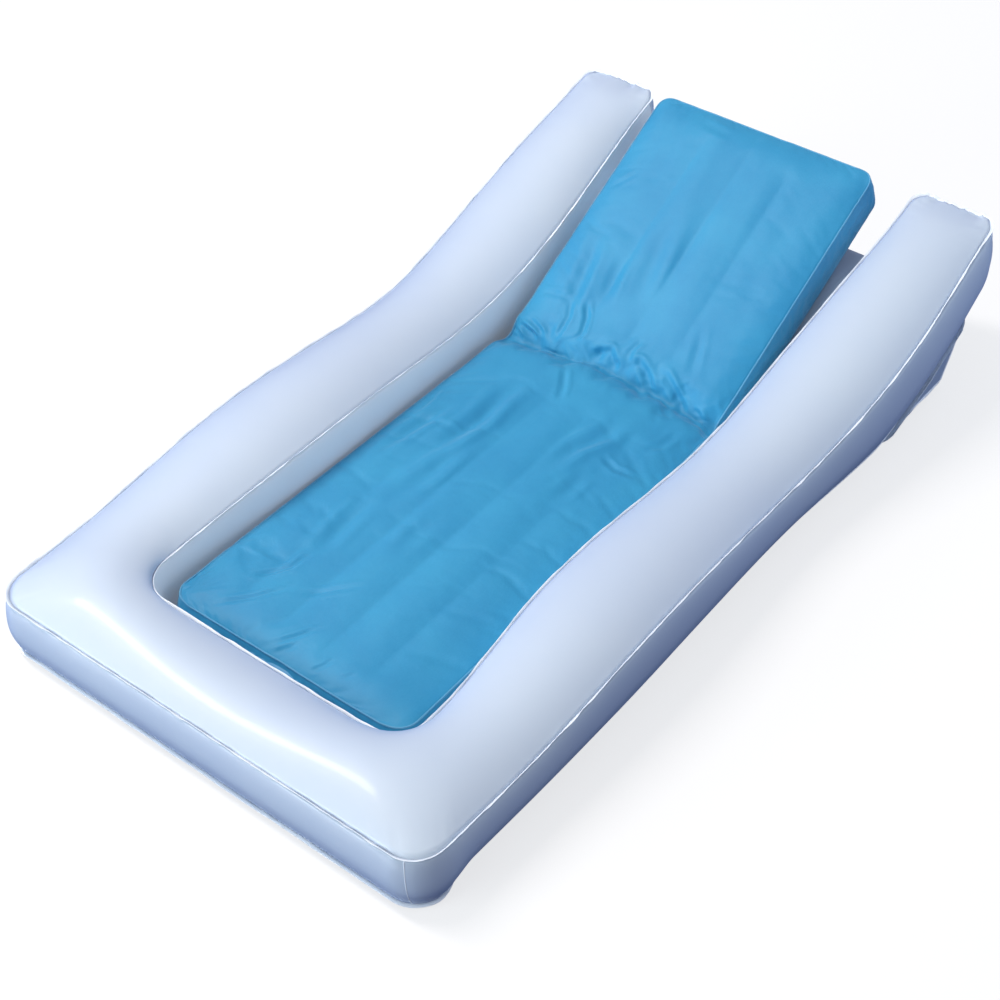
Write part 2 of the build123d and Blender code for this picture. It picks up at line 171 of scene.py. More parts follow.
def line_noise(along, size, seed, octaves=1, closed=None):
    """Seeded noise of wavelength about size along positions; periodic over closed if given."""

    def layer(rng, divisor):
        step = size / divisor
        if closed:
            count = max(4, int(round(closed / step)))
            place = np.mod(along, closed) / closed * count
        else:
            place = (along - along.min()) / step
            count = int(place.max()) + 3
        knots = rng.uniform(-1, 1, count)
        cell = np.floor(place).astype(int)
        blend = ease(place - cell)
        return knots[cell % count] * (1 - blend) + knots[(cell + 1) % count] * blend

    return octave_sum(layer, seed, 97, octaves)


def space_noise(x, y, z, size, seed, octaves=2):
    """Seeded value noise in space; any coordinate may be a constant."""
    points = np.column_stack(np.broadcast_arrays(x, y, z))
    hash_factors = np.array([73856093, 19349663, 83492791], dtype=np.int64)
    table_size = 4096

    def layer(rng, divisor):
        table = rng.uniform(-1, 1, table_size)
        place = points / (size / divisor) + 1000.0
        cell = np.floor(place).astype(np.int64)
        blend = ease(place - cell)
        result = np.zeros(len(points))
        for corner in itertools.product((0, 1), repeat=3):
            weight = np.prod(np.where(corner, blend, 1 - blend), axis=1)
            key = np.bitwise_xor.reduce((cell + corner) * hash_factors, axis=1)
            result += weight * table[key % table_size]
        return result

    return octave_sum(layer, seed, 31, octaves)


# ---- meshes --------------------------------------------------------------------------
SHEET_THICKNESS = 0.0006
# a weld flange's cross-section: share of its width outwards, share of its thickness across
FLANGE_SECTION = [
    (-0.35, 0.5), (0.7, 0.5), (0.95, 0.28), (1.0, 0.0), (0.95, -0.28), (0.7, -0.5), (-0.35, -0.5),
]


def select_only(*pieces):
    bpy.ops.object.select_all(action="DESELECT")
    for piece in pieces:
        piece.select_set(True)
    bpy.context.view_layer.objects.active = pieces[0]


def add_object(name, mesh):
    piece = bpy.data.objects.new(name, mesh)
    bpy.context.scene.collection.objects.link(piece)
    return piece


def shade_smooth(piece):
    polygons = piece.data.polygons
    polygons.foreach_set("use_smooth", [True] * len(polygons))


def flat_mesh(name, vertices, faces):
    mesh = bpy.data.meshes.new(name)
    mesh.from_pydata([tuple(v) for v in vertices], [], [tuple(int(i) for i in f) for f in faces])
    mesh.update()
    return add_object(name, mesh)


def smooth_solid(name, vertices, faces):
    """Smooth-shaded closed mesh with its faces turned outwards."""
    piece = flat_mesh(name, vertices, faces)
    shade_smooth(piece)
    work = bmesh.new()
    work.from_mesh(piece.data)
    bmesh.ops.recalc_face_normals(work, faces=work.faces)
    work.to_mesh(piece.data)
    work.free()
    shade_smooth(piece)
    return piece


def grid_faces(rows, columns, closed_rows=False, closed_columns=False, flip=False, base=0):
    faces = []
    for i in range(rows if closed_rows else rows - 1):
        for j in range(columns if closed_columns else columns - 1):
            here, there = i * columns, ((i + 1) % rows) * columns
            j_next = (j + 1) % columns
            face = (here + j, there + j, there + j_next, here + j_next)
            if flip:
                face = (face[0], face[3], face[2], face[1])
            faces.append(tuple(base + k for k in face))
    return faces


def grid_normals(grid):
    return unit(np.cross(np.gradient(grid, axis=0), np.gradient(grid, axis=1)))


def thick_sheet(name, grid):
    """Thin closed solid: the grid of points, a copy set back from it, and a rim."""
    rows, columns = grid.shape[:2]
    back = grid - grid_normals(grid) * SHEET_THICKNESS
    size = rows * columns
    faces = grid_faces(rows, columns) + grid_faces(rows, columns, flip=True, base=size)
    rim = [i * columns for i in range(rows)]
    rim += [(rows - 1) * columns + j for j in range(1, columns)]
    rim += [i * columns + columns - 1 for i in range(rows - 2, -1, -1)]
    rim += list(range(columns - 2, 0, -1))
    for here, after in zip(rim, rim[1:] + rim[:1]):
        faces.append((after, here, here + size, after + size))
    return smooth_solid(name, np.concatenate([grid.reshape(-1, 3), back.reshape(-1, 3)]), faces)


def ribbon(name, path, direction, side, width, thickness, closed=False):
    """Weld flange: a strip standing width out of path along direction, thick across side."""
    count = len(path)
    width = np.broadcast_to(np.asarray(width, float), (count,))
    strips = [
        path + direction * (width * out)[:, None] + side * (thickness * across)
        for out, across in FLANGE_SECTION
    ]
    grid = np.stack(strips, 1)
    sides = len(FLANGE_SECTION)
    faces = grid_faces(count, sides, closed_rows=closed, closed_columns=True)
    if not closed:
        faces.append(tuple(range(sides)))
        faces.append(tuple((count - 1) * sides + j for j in reversed(range(sides))))
    return smooth_solid(name, grid.reshape(-1, 3), faces)


def cord(name, path, radius, sides=8):
    """Round cord along a closed path."""
    tangents = ring_tangents(path)
    level = unit(np.cross(tangents, np.array([0.0, 0.0, 1.0])))
    upright = np.cross(tangents, level)
    angles = np.linspace(0, 2 * math.pi, sides, endpoint=False)[None, :, None]
    circle = np.cos(angles) * level[:, None, :] + np.sin(angles) * upright[:, None, :]
    grid = path[:, None, :] + radius * circle
    faces = grid_faces(len(path), sides, closed_rows=True, closed_columns=True)
    return smooth_solid(name, grid.reshape(-1, 3), faces)


def join(name, pieces):
    select_only(*pieces)
    bpy.ops.object.join()
    joined = bpy.context.view_layer.objects.active
    joined.name = name
    joined.data.name = name
    return joined


def apply_modifier(piece, modifier):
    select_only(piece)
    bpy.ops.object.modifier_apply(modifier=modifier.name)


def get_coords(piece):
    coords = np.zeros(len(piece.data.vertices) * 3)
    piece.data.vertices.foreach_get("co", coords)
    return coords.reshape(-1, 3)


def set_coords(piece, coords):
    piece.data.vertices.foreach_set("co", np.asarray(coords, float).ravel())
    piece.data.update()


def get_normals(piece):
    normals = np.zeros(len(piece.data.vertices) * 3)
    piece.data.vertex_normals.foreach_get("vector", normals)
    return normals.reshape(-1, 3)


def paint(piece, material):
    piece.data.materials.clear()
    piece.data.materials.append(material)


def fit_piece(piece, material, body):
    """Paints a piece and ties it to the body it moves with and to its material slot."""
    paint(piece, material)
    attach(piece, body)


# ---- valve seats ---------------------------------------------------------------------
VALVE_FLAT_R = 0.0245  # radius of the flat patch under a valve's base
MOUTH_TO_BASE = 0.01325  # from a valve's mouth mount, along its axis, to the base plane
WELL_R, WELL_DEPTH, WELL_PROUD = 0.0125, 0.040, 0.006


def valve_plane(name):
    """Centre of a valve's base on its sheet, and the direction it faces."""
    joints, mounts = frame["joints"], frame["record"]["mounts"]
    slide = next(joint for joint in joints if joint["name"] == name + "_valve_stem_slide")
    mouth = next(mount for mount in mounts if mount["name"] == name + "_valve_mouth")
    axis = np.array(slide["axis"], float)
    return np.array(mouth["pos_m"]) + axis * MOUTH_TO_BASE, axis


def plane_coords(points, origin, normal):
    """Height of points over a plane, and their distance from the normal through origin."""
    offset = points - origin
    height = offset @ normal
    return height, np.linalg.norm(offset - height[..., None] * normal, axis=-1)


def flatten_at_valve(points, origin, normal, blend, reach, sink, facing=1.0):
    """Draws points within reach of a valve's plane to sink below it, easing out over blend."""
    height, radius = plane_coords(points, origin, normal)
    weight = (1 - ease(radius, VALVE_FLAT_R, blend)) * (np.abs(height) < reach) * facing
    return points - normal * ((height + sink) * weight)[..., None]


def cut_well(piece, valve):
    """Cuts the round hole that a valve's collar passes through."""
    origin, normal = valve_plane(valve)
    work = bmesh.new()
    bmesh.ops.create_cone(
        work, cap_ends=True, segments=32, radius1=WELL_R, radius2=WELL_R, depth=WELL_DEPTH
    )
    pose = Vector((0, 0, 1)).rotation_difference(Vector(normal)).to_matrix().to_4x4()
    pose.translation = Vector(origin - normal * (WELL_DEPTH / 2 - WELL_PROUD))
    work.transform(pose)
    mesh = bpy.data.meshes.new("cutter")
    work.to_mesh(mesh)
    work.free()
    cutter = add_object("cutter", mesh)
    modifier = piece.modifiers.new("well", "BOOLEAN")
    modifier.operation = "DIFFERENCE"
    modifier.solver = "EXACT"
    modifier.object = cutter
    apply_modifier(piece, modifier)
    bpy.data.objects.remove(cutter)
    bpy.data.meshes.remove(mesh)


# ---- materials -----------------------------------------------------------------------
def set_inputs(node, **values):
    """Sets a node's inputs; an underscore in a name stands for a space."""
    for key, value in values.items():
        node.inputs[key.replace("_", " ")].default_value = value


def new_material(name):
    material = bpy.data.materials.new(name)
    material.use_nodes = True
    tree = material.node_tree
    return material, tree, tree.nodes["Principled BSDF"]


def add_node(tree, kind, sources=(), **values):
    """New node with its inputs set, and fed from a mapping of input to output socket."""
    node = tree.nodes.new(kind)
    set_inputs(node, **values)
    for key, socket in dict(sources).items():
        tree.links.new(socket, node.inputs[key])
    return node


def math_node(tree, operation, *operands):
    """Math node whose operands are numbers or output sockets."""
    node = tree.nodes.new("ShaderNodeMath")
    node.operation = operation
    for i, operand in enumerate(operands):
        if isinstance(operand, (int, float)):
            node.inputs[i].default_value = operand
        else:
            tree.links.new(operand, node.inputs[i])
    return node.outputs[0]


def mix_shaders(tree, factor, first, second):
    """Mix Shader node; factor is a number or an output socket."""
    node = add_node(tree, "ShaderNodeMixShader", {1: first, 2: second})
    if isinstance(factor, float):
        set_inputs(node, Fac=factor)
    else:
        tree.links.new(factor, node.inputs["Fac"])
    return node.outputs["Shader"]


def object_coords(tree):
    source = tree.nodes.new("ShaderNodeTexCoord").outputs["Object"]
    return add_node(tree, "ShaderNodeMapping", {"Vector": source}).outputs["Vector"]


def noise_node(tree, vector, scale, detail, roughness=0.5):
    node = add_node(tree, "ShaderNodeTexNoise", {"Vector": vector},
                    Scale=scale, Detail=detail, Roughness=roughness)
    return node.outputs["Fac"]


def two_tone(tree, factor, start, start_color, end, end_color):
    node = add_node(tree, "ShaderNodeValToRGB", {"Fac": factor})
    stops = node.color_ramp.elements
    stops[0].position = start
    stops[0].color = (*start_color, 1)
    stops[1].position = end
    stops[1].color = (*end_color, 1)
    return node.outputs["Color"]


def map_range(tree, value, **limits):
    return add_node(tree, "ShaderNodeMapRange", {"Value": value}, **limits).outputs["Result"]


def bump_node(tree, height, strength, distance, normal=None):
    sources = {"Height": height}
    if normal:
        sources["Normal"] = normal
    node = add_node(tree, "ShaderNodeBump", sources, Strength=strength, Distance=distance)
    return node.outputs["Normal"]


def film_material(name, light, deep, rough=0.42, coat=0.115, glow=0.0):
    """Soft vinyl film: pale body, deeper at grazing angles, with fine pebble and faint haze."""
    material, tree, shader = new_material(name)
    link = tree.links.new
    vector = object_coords(tree)
    cloud = noise_node(tree, vector, scale=3.2, detail=3.0)
    grazing = add_node(tree, "ShaderNodeLayerWeight", Blend=0.32).outputs["Facing"]
    depth = math_node(tree, "MULTIPLY_ADD", cloud, 0.30, grazing)
    link(two_tone(tree, depth, 0.10, light, 0.95, deep), shader.inputs["Base Color"])
    haze = noise_node(tree, vector, scale=11.0, detail=3.0)
    roughness = map_range(
        tree, haze, From_Min=0.3, From_Max=0.7, To_Min=rough - 0.015, To_Max=rough + 0.03
    )
    link(roughness, shader.inputs["Roughness"])
    set_inputs(
        shader,
        Specular_IOR_Level=0.32,
        IOR=1.52,
        Coat_Weight=coat,
        Coat_Roughness=0.13,
        Subsurface_Weight=0.12,
        Subsurface_Radius=(0.6, 0.8, 1.0),
        Subsurface_Scale=0.01,
    )
    pebble = noise_node(tree, vector, scale=900.0, detail=2.0)
    slack = noise_node(tree, vector, scale=9.0, detail=2.0, roughness=0.45)
    fine = bump_node(tree, pebble, strength=0.10, distance=0.0002)
    broad = bump_node(tree, slack, strength=0.22, distance=0.004, normal=fine)
    link(broad, shader.inputs["Normal"])
    if glow > 0:
        # painted glow: a faint emission stands in for daylight shining through the thin film from
        # inside the chamber
        set_inputs(shader, Emission_Color=(0.92, 0.96, 1.0, 1), Emission_Strength=glow)
    return material


def woven_material(name, base, deep, threads=1400.0, rough=0.62, bump=0.35, specular=0.35):
    """Plain-weave coated polyester, mottled, with a little sheen; threads are per metre."""
    material, tree, shader = new_material(name)
    link = tree.links.new
    vector = object_coords(tree)
    mottle = noise_node(tree, vector, scale=7.0, detail=4.0, roughness=0.55)
    grain = noise_node(tree, vector, scale=260.0, detail=2.0, roughness=0.6)
    tone = math_node(tree, "MULTIPLY_ADD", grain, 0.35, mottle)
    link(two_tone(tree, tone, 0.40, deep, 0.92, base), shader.inputs["Base Color"])
    # one wave per axis, so that every facet shows two crossed threads
    axes = add_node(tree, "ShaderNodeSeparateXYZ", {"Vector": vector})
    waves = []
    for axis in "XYZ":
        phase = math_node(tree, "MULTIPLY", axes.outputs[axis], threads * math.pi)
        waves.append(math_node(tree, "SINE", phase))
    crossed = math_node(tree, "MULTIPLY", waves[0], waves[1])
    weave = math_node(tree, "MULTIPLY_ADD", waves[2], 0.5, crossed)
    fine = bump_node(tree, weave, strength=bump, distance=0.00018)
    soft = noise_node(tree, vector, scale=34.0, detail=3.0, roughness=0.55)
    broad = bump_node(tree, soft, strength=0.30, distance=0.0022, normal=fine)
    link(broad, shader.inputs["Normal"])
    set_inputs(
        shader,
        Roughness=rough,
        Specular_IOR_Level=specular,
        Sheen_Weight=0.25,
        Sheen_Roughness=0.4,
        Sheen_Tint=(0.75, 0.9, 1.0, 1),
    )
    return material


def plastic_material(name, color, rough, subsurface):
    """Moulded plastic with faint clouding and a fine surface grain."""
    material, tree, shader = new_material(name)
    link = tree.links.new
    vector = object_coords(tree)
    cloud = noise_node(tree, vector, scale=60.0, detail=3.0)
    dark = tuple(channel * 0.86 for channel in color)
    link(two_tone(tree, cloud, 0.3, dark, 0.7, color), shader.inputs["Base Color"])
    grain = noise_node(tree, vector, scale=600.0, detail=2.0)
    roughness = map_range(tree, grain, To_Min=rough - 0.07, To_Max=rough + 0.1)
    link(roughness, shader.inputs["Roughness"])
    link(bump_node(tree, grain, strength=0.12, distance=0.0002), shader.inputs["Normal"])
    set_inputs(shader, Subsurface_Weight=subsurface, Subsurface_Scale=0.003)
    return material


FRAME_FILM = film_material("frame_film", light=(0.585, 0.674, 0.758), deep=(0.365, 0.465, 0.70))
# painted shade: a darker copy of the frame's film, standing in for the shade under the arm ends and
# behind the backrest
BOLSTER_FILM_PAINTED_SHADE = film_material("bolster_film_painted_shade", light=(0.430, 0.505, 0.610), deep=(0.26, 0.33, 0.50))
# painted light: the opening's film is a paler copy of the frame's film with a faint glow, standing
# in for daylight shining through the thin tubes onto the opening's walls
OPENING_FILM_PAINTED_LIGHT = film_material(
    "frame_film_opening_painted_light", light=(0.79, 0.85, 0.88), deep=(0.65, 0.72, 0.80), glow=0.09
)
WELD_FILM = film_material(
    "weld_seam_film", light=(0.88, 0.93, 0.98), deep=(0.70, 0.78, 0.90), rough=0.28, coat=0.2
)
FLOOR_FILM = film_material(
    "floor_sheet_film", light=(0.60, 0.68, 0.78), deep=(0.42, 0.50, 0.68), rough=0.34, coat=0.15
)
COVER_FABRIC = woven_material(
    "cover_fabric", base=(0.028, 0.290, 0.510), deep=(0.016, 0.236, 0.455),
    rough=0.50, specular=0.38,
)
SEAM_FABRIC = woven_material(
    "cover_seam_fabric", base=(0.110, 0.360, 0.560), deep=(0.07, 0.29, 0.50), threads=900.0
)
BLADDER_FILM = film_material(
    "bladder_film", light=(0.16, 0.42, 0.66), deep=(0.08, 0.26, 0.50), rough=0.3
)
HOOK_TAPE = woven_material(
    "hook_tape", base=(0.62, 0.66, 0.70), deep=(0.45, 0.50, 0.55), threads=500.0, bump=0.8
)
ZIP_TAPE = woven_material(
    "zip_tape", base=(0.07, 0.34, 0.62), deep=(0.05, 0.26, 0.52), threads=700.0, bump=0.6
)
ZIP_ENAMEL = plastic_material("zip_enamel", (0.06, 0.30, 0.56), rough=0.28, subsurface=0.0)
VALVE_PLASTIC = plastic_material("valve_plastic", (0.70, 0.78, 0.86), rough=0.3, subsurface=0.35)
CAP_PLASTIC = plastic_material("valve_cap_plastic", (0.62, 0.71, 0.82), rough=0.34, subsurface=0.3)

# ---- the frame's shape ---------------------------------------------------------------
FOOT, HEAD = -0.950, 0.950  # y of the foot edge and of the arm ends
FOOT_INNER = FOOT + 0.181  # y of the opening's edge at the foot
OUTER_FOOT_X, OUTER_TIP_X = 0.523, 0.530  # half widths outside
INNER_FOOT_X, INNER_TIP_X = 0.331, 0.342  # half widths of the opening
OUTER_R, INNER_R, TIP_R = 0.066, 0.078, 0.030  # outer, opening and arm-end corner radii
TIP_Y = HEAD - TIP_R

STATIONS = np.array([0, 0.3, 0.6, 0.9, 1.15, 1.4, 1.65, 1.9]) + FOOT
outer_x = cubic_spline(
    STATIONS, [OUTER_FOOT_X, 0.530, 0.534, 0.527, 0.526, 0.542, 0.543, OUTER_TIP_X], 0, 0
)
inner_x = cubic_spline(
    [FOOT + 0.259, FOOT + 0.6, FOOT + 0.9, FOOT + 1.15, FOOT + 1.4, FOOT + 1.65, TIP_Y],
    [INNER_FOOT_X, 0.310, 0.312, 0.315, 0.315, 0.330, INNER_TIP_X],
    0,
    0,
)
top_z = cubic_spline(
    STATIONS, [0.130, 0.134, 0.162, 0.157, 0.148, 0.190, 0.267, 0.351], 0, 0.34
)
ARM_LIFT_Y = 0.500  # beyond this y the arms leave the ground
arm_under_z = cubic_spline(
    [ARM_LIFT_Y, 0.580, 0.657, 0.735, 0.814, 0.880, 0.965],
    [0.0, 0.012, 0.039, 0.071, 0.103, 0.135, 0.183],
    0,
    0.56,
)

# plan centres of the rounded corners on the +x side
OUTER_CORNER = (OUTER_FOOT_X - OUTER_R, FOOT + OUTER_R)
INNER_CORNER = (INNER_FOOT_X - INNER_R, FOOT_INNER + INNER_R)
OUTER_TIP = (OUTER_TIP_X - TIP_R, TIP_Y)
INNER_TIP = (INNER_TIP_X + TIP_R, TIP_Y)
CORNERS = (
    (OUTER_CORNER, OUTER_R), (INNER_CORNER, INNER_R), (OUTER_TIP, TIP_R), (INNER_TIP, TIP_R),
)
OUTER, END, INNER = 0, 1, 2  # zones of the outline: outer side, arm end, opening


def arc(center, radius, start, stop, count, endpoint=False):
    """Points on a plan arc between two angles in degrees."""
    angles = np.radians(np.linspace(start, stop, count, endpoint=endpoint))
    return np.column_stack(
        [center[0] + radius * np.cos(angles), center[1] + radius * np.sin(angles)]
    )


def outline(step=0.006):
    """Closed plan outline, anticlockwise from the middle of the foot edge.

    Returns its points, outward normals and zones.
    """

    def line(start, stop):
        count = int(math.dist(start, stop) / step)
        share = np.linspace(0, 1, count, endpoint=False)[:, None]
        return np.array(start) * (1 - share) + np.array(stop) * share

    def side(half_width, start, stop):
        y = np.linspace(start, stop, int(abs(stop - start) / step), endpoint=False)
        return np.stack([half_width(y), y], 1)

    parts = [
        (line((0, FOOT), (OUTER_CORNER[0], FOOT)), OUTER),
        (arc(OUTER_CORNER, OUTER_R, -90, 0, 26), OUTER),
        (side(outer_x, OUTER_CORNER[1], TIP_Y), OUTER),
        (arc(OUTER_TIP, TIP_R, 0, 90, 12), END),
        (line((OUTER_TIP[0], HEAD), (INNER_TIP[0], HEAD)), END),
        (arc(INNER_TIP, TIP_R, 90, 180, 12), END),
        (side(inner_x, TIP_Y, INNER_CORNER[1]), INNER),
        (arc(INNER_CORNER, INNER_R, 0, -90, 26), INNER),
        (line((INNER_CORNER[0], FOOT_INNER), (0, FOOT_INNER)), INNER),
    ]
    right = np.concatenate([points for points, _ in parts])
    zones = np.concatenate([np.full(len(points), zone) for points, zone in parts])
    left = right[::-1] * [-1, 1]
    keep = np.abs(left[:, 0]) > 1e-9
    points = np.concatenate([right, [[0, FOOT_INNER]], left[keep]])
    zones = np.concatenate([zones, [INNER], zones[::-1][keep]])
    return points, soften(outward(ring_tangents(points)), 4, directions=True), zones


def by_zone(zones, outer, end, inner):
    return np.where(zones == OUTER, outer, np.where(zones == END, end, inner))


def near_corners(points, weights, width, base):
    """How close plan points are to the rounded corners' arcs, weighted corner by corner."""
    result = np.full(len(points), base)
    for (center, radius), weight in zip(CORNERS, weights):
        for side in (1, -1):
            distance = np.hypot(points[:, 0] - side * center[0], points[:, 1] - center[1])
            result = np.maximum(result, weight * bell(distance - radius, width))
    return result


def top_height(x, y):
    """Top seam height, uneven across an arm's end where the sheet is gathered into it."""
    turn = 2 * math.pi
    waves = (
        0.5 * np.sin(x * turn / 0.0225 + 1.3)
        + 0.3 * np.sin(x * turn / 0.0145 + 0.4)
        + 0.3 * np.sin(x * turn / 0.041)
    )
    return top_z(y) + 0.0030 * waves * ease(y, HEAD - 0.008, 0.007)


def top_seam(points):
    return np.column_stack([points, top_height(points[:, 0], points[:, 1])])


def bottom_seam(points, normals, zones):
    """Bottom seam: rolled under along the arms, nearly below the top one at the foot."""
    y = points[:, 1]
    along = ease(y, FOOT + 0.03, 0.10)
    tuck = by_zone(zones, 0.002 + 0.017 * along, 0.012, 0.001)
    lift = by_zone(zones, 0.007 + 0.004 * along, 0.009, 0.0055)
    tucked = points - normals * tuck[:, None]
    y = tucked[:, 1]
    return np.column_stack([tucked, np.where(y < ARM_LIFT_Y, 0.0, arm_under_z(y)) + lift])


LOOP, LOOP_NORMALS, LOOP_ZONES = outline()
LOOP_RUN = arc_length(LOOP)
LOOP_LENGTH = LOOP_RUN[-1] + np.linalg.norm(LOOP[0] - LOOP[-1])
OUT = np.column_stack([LOOP_NORMALS, np.zeros(len(LOOP))])
TOP_EDGE = top_seam(LOOP)
BOTTOM_EDGE = bottom_seam(LOOP, LOOP_NORMALS, LOOP_ZONES)
CORNERNESS = near_corners(LOOP, weights=(1.0, 0.8, 1.3, 1.5), width=0.028, base=0.0)


def loop_noise(size, seed, octaves=1):
    return line_noise(LOOP_RUN, size, seed, octaves, closed=LOOP_LENGTH)


# ---- side strips ---------------------------------------------------------------------
def side_wall(rows=19):
    """Grid of points over all side strips: along the outline, then from top seam down."""
    y = LOOP[:, 1]
    at_foot = ease(FOOT + 0.10 - y, span=0.07)
    outer_bulge = 0.0195 - 0.0065 * at_foot + 0.008 * ease(y, 0.55, 0.25)
    bulge = soften(by_zone(LOOP_ZONES, outer_bulge, 0.012, 0.013), 8)
    bulge = bulge * (1 + 0.06 * loop_noise(0.5, seed=5))
    down = np.linspace(0, 1, rows)
    arch = (4 * down * (1 - down)) ** 0.80 * (1 + 0.22 * (0.5 - down))
    wall = TOP_EDGE[:, None, :] * (1 - down)[:, None] + BOTTOM_EDGE[:, None, :] * down[:, None]
    wall = wall + OUT[:, None, :] * (bulge[:, None] * arch)[:, :, None]
    # the weight on the ground rolls the lower part out a little more
    low = 0.003 * bell(down - 0.62, 0.25) * (LOOP_ZONES == OUTER)[:, None]
    wall = wall + OUT[:, None, :] * low[:, :, None]
    # puckers where the film is gathered into the welds, strongest at corners and arm ends
    gather = (0.12 + CORNERNESS + 0.5 * (LOOP_ZONES == END))[:, None]
    puckers = 0.0
    for depth, size, seed, distance in ((0.0016, 0.011, 11, down), (0.0014, 0.013, 12, 1 - down)):
        ripple = loop_noise(size, seed, octaves=2)[:, None]
        puckers = puckers + depth * gather * ripple * edge_fade(distance, decay=0.13, rise=0.03)
    wall = wall + OUT[:, None, :] * puckers[:, :, None]
    wall[:, :, 2] = np.maximum(wall[:, :, 2], 0.0006)
    origin, axis = valve_plane("hull")
    return flatten_at_valve(
        wall, origin, unit(axis), blend=0.046 - VALVE_FLAT_R, reach=0.06, sink=0.0003
    )


def runs(mask):
    """Index runs of a closed loop where mask holds, each one point longer at both ends."""
    count = len(mask)
    result = []
    for start in range(count):
        if mask[start] and not mask[start - 1]:
            stop = start
            while mask[stop % count]:
                stop += 1
            result.append([i % count for i in range(start - 1, stop + 1)])
    return result


WALL = side_wall()
END_RUNS = runs(LOOP_ZONES == END)


def side_strip(name, part, zone):
    pieces = [
        thick_sheet("%s_%d" % (part, i), WALL[run]) for i, run in enumerate(runs(LOOP_ZONES == zone))
    ]
    return join(name, pieces)


frame_outer = side_strip("frame_outer_strip", "outer", OUTER)
frame_inner = side_strip("frame_inner_strip", "inner", INNER)
frame_ends = side_strip("frame_arm_ends", "end", END)

# ---- top and bottom sheets -----------------------------------------------------------
SHEET_MIN_Z = 0.0005


def rails(step=0.0065):
    """Matching plan points on the +x half's outer and inner edges, foot middle to arm end."""
    share = np.linspace(0, 1, int(OUTER_CORNER[0] / step), endpoint=False)
    outer = [np.column_stack([share * OUTER_CORNER[0], np.full(len(share), FOOT)])]
    inner = [np.column_stack([share * INNER_CORNER[0], np.full(len(share), FOOT_INNER)])]
    outer.append(arc(OUTER_CORNER, OUTER_R, -90, 0, 26))
    inner.append(arc(INNER_CORNER, INNER_R, -90, 0, 26))
    start = OUTER_CORNER[1]
    y = np.linspace(start, TIP_Y, int((TIP_Y - start) / step), endpoint=False)
    # the inner rail starts further up and eases into step with the outer one
    lag = 1 - np.clip((y - start) / 0.42, 0, 1)
    y_inner = y + (INNER_CORNER[1] - start) * lag**2
    outer.append(np.column_stack([outer_x(y), y]))
    inner.append(np.column_stack([inner_x(y_inner), y_inner]))
    outer.append(arc(OUTER_TIP, TIP_R, 0, 90, 13, endpoint=True))
    inner.append(arc(INNER_TIP, TIP_R, 180, 90, 13, endpoint=True))
    return np.concatenate(outer), np.concatenate(inner)


def facing_normals(grid, up):
    """Grid normals turned upwards for up = 1 and downwards for up = -1."""
    normals = grid_normals(grid)
    return normals * np.sign(normals[..., 2:3] * up + 1e-12)


def membrane(grid, pressure, passes, up):
    """Relaxes a grid, edges held, to the shape a film takes under pressure over the ground."""
    stiffness = []
    for axis in (0, 1):
        steps = np.linalg.norm(np.gradient(grid, axis=axis), axis=2)[1:-1, 1:-1, None]
        stiffness.append(1 / np.maximum(steps, 0.003) ** 2)
    along, across = stiffness
    total = 2 * (along + across)
    pressure = np.broadcast_to(pressure, grid.shape[:2])[1:-1, 1:-1, None]
    for i in range(passes):
        if i % 25 == 0:
            push = facing_normals(grid, up)[1:-1, 1:-1] * (pressure / total)
        grid[1:-1, 1:-1] = (
            along * (grid[2:, 1:-1] + grid[:-2, 1:-1])
            + across * (grid[1:-1, 2:] + grid[1:-1, :-2])
        ) / total + push
        grid[1:-1, 1:-1, 2] = np.maximum(grid[1:-1, 1:-1, 2], SHEET_MIN_Z)
    return grid


def panel(seed, top):
    """Grid of the top or bottom sheet, from the -x arm's end round the foot to the +x one."""
    outer, inner = (np.concatenate([(rail[1:] * [-1, 1])[::-1], rail]) for rail in rails())
    if top:
        outer_seam, inner_seam = top_seam(outer), top_seam(inner)
    else:
        at_end = outer[:, 1] >= TIP_Y - 1e-6
        outer_normals = outward(unit(np.gradient(outer, axis=0)))
        inner_normals = -outward(unit(np.gradient(inner, axis=0)))
        outer_seam = bottom_seam(outer, outer_normals, np.where(at_end, END, OUTER))
        inner_seam = bottom_seam(inner, inner_normals, np.where(at_end, END, INNER))
    across = np.linspace(0, 1, 31 if top else 17)
    grid = outer_seam[:, None, :] * (1 - across)[:, None] + inner_seam[:, None, :] * across[:, None]
    run = arc_length((outer + inner) / 2)
    if top:
        for row in (0, -1):
            grid[row, :, 2] = top_height(grid[row, :, 0], grid[row, :, 1])
        pressure = 6.3 * (1 + 0.10 * line_noise(run, 0.45, seed))
        grid = membrane(grid, pressure[:, None], passes=1500, up=1.0)
    else:
        grid = membrane(grid, 3.0, passes=500, up=-1.0)
    width = np.linalg.norm(outer_seam - inner_seam, axis=1)[:, None]

    def edge_ripple(rail, distance, ripple_seed):
        gather = near_corners(rail, weights=(0.9, 0.7, 1.2, 1.6), width=0.03, base=0.10)
        ripple = gather * line_noise(run, 0.012, ripple_seed, octaves=2)
        return ripple[:, None] * edge_fade(distance, decay=0.016, rise=0.004)

    # gathers at the welds, strongest round the arm ends and corners
    ripples = (0.0015 if top else 0.001) * (
        edge_ripple(outer, across * width, seed + 1)
        + edge_ripple(inner, (1 - across) * width, seed + 2)
    )
    # the gathers of the arm's end seam run along the arm
    x = grid[..., 0]
    from_end = np.minimum(np.abs(grid[..., 1] - HEAD), 0.2)
    end_noise = line_noise(x.ravel(), 0.017, seed + 3).reshape(x.shape)
    ripples = ripples + 0.0044 * end_noise * edge_fade(from_end, decay=0.020, rise=0.004)
    grid = grid + facing_normals(grid, 1 if top else -1) * ripples[..., None]
    grid[..., 2] = np.maximum(grid[..., 2], SHEET_MIN_Z)
    return grid


frame_top = thick_sheet("frame_top_sheet", panel(40, top=True))
frame_bottom = thick_sheet("frame_bottom_sheet", panel(60, top=False))


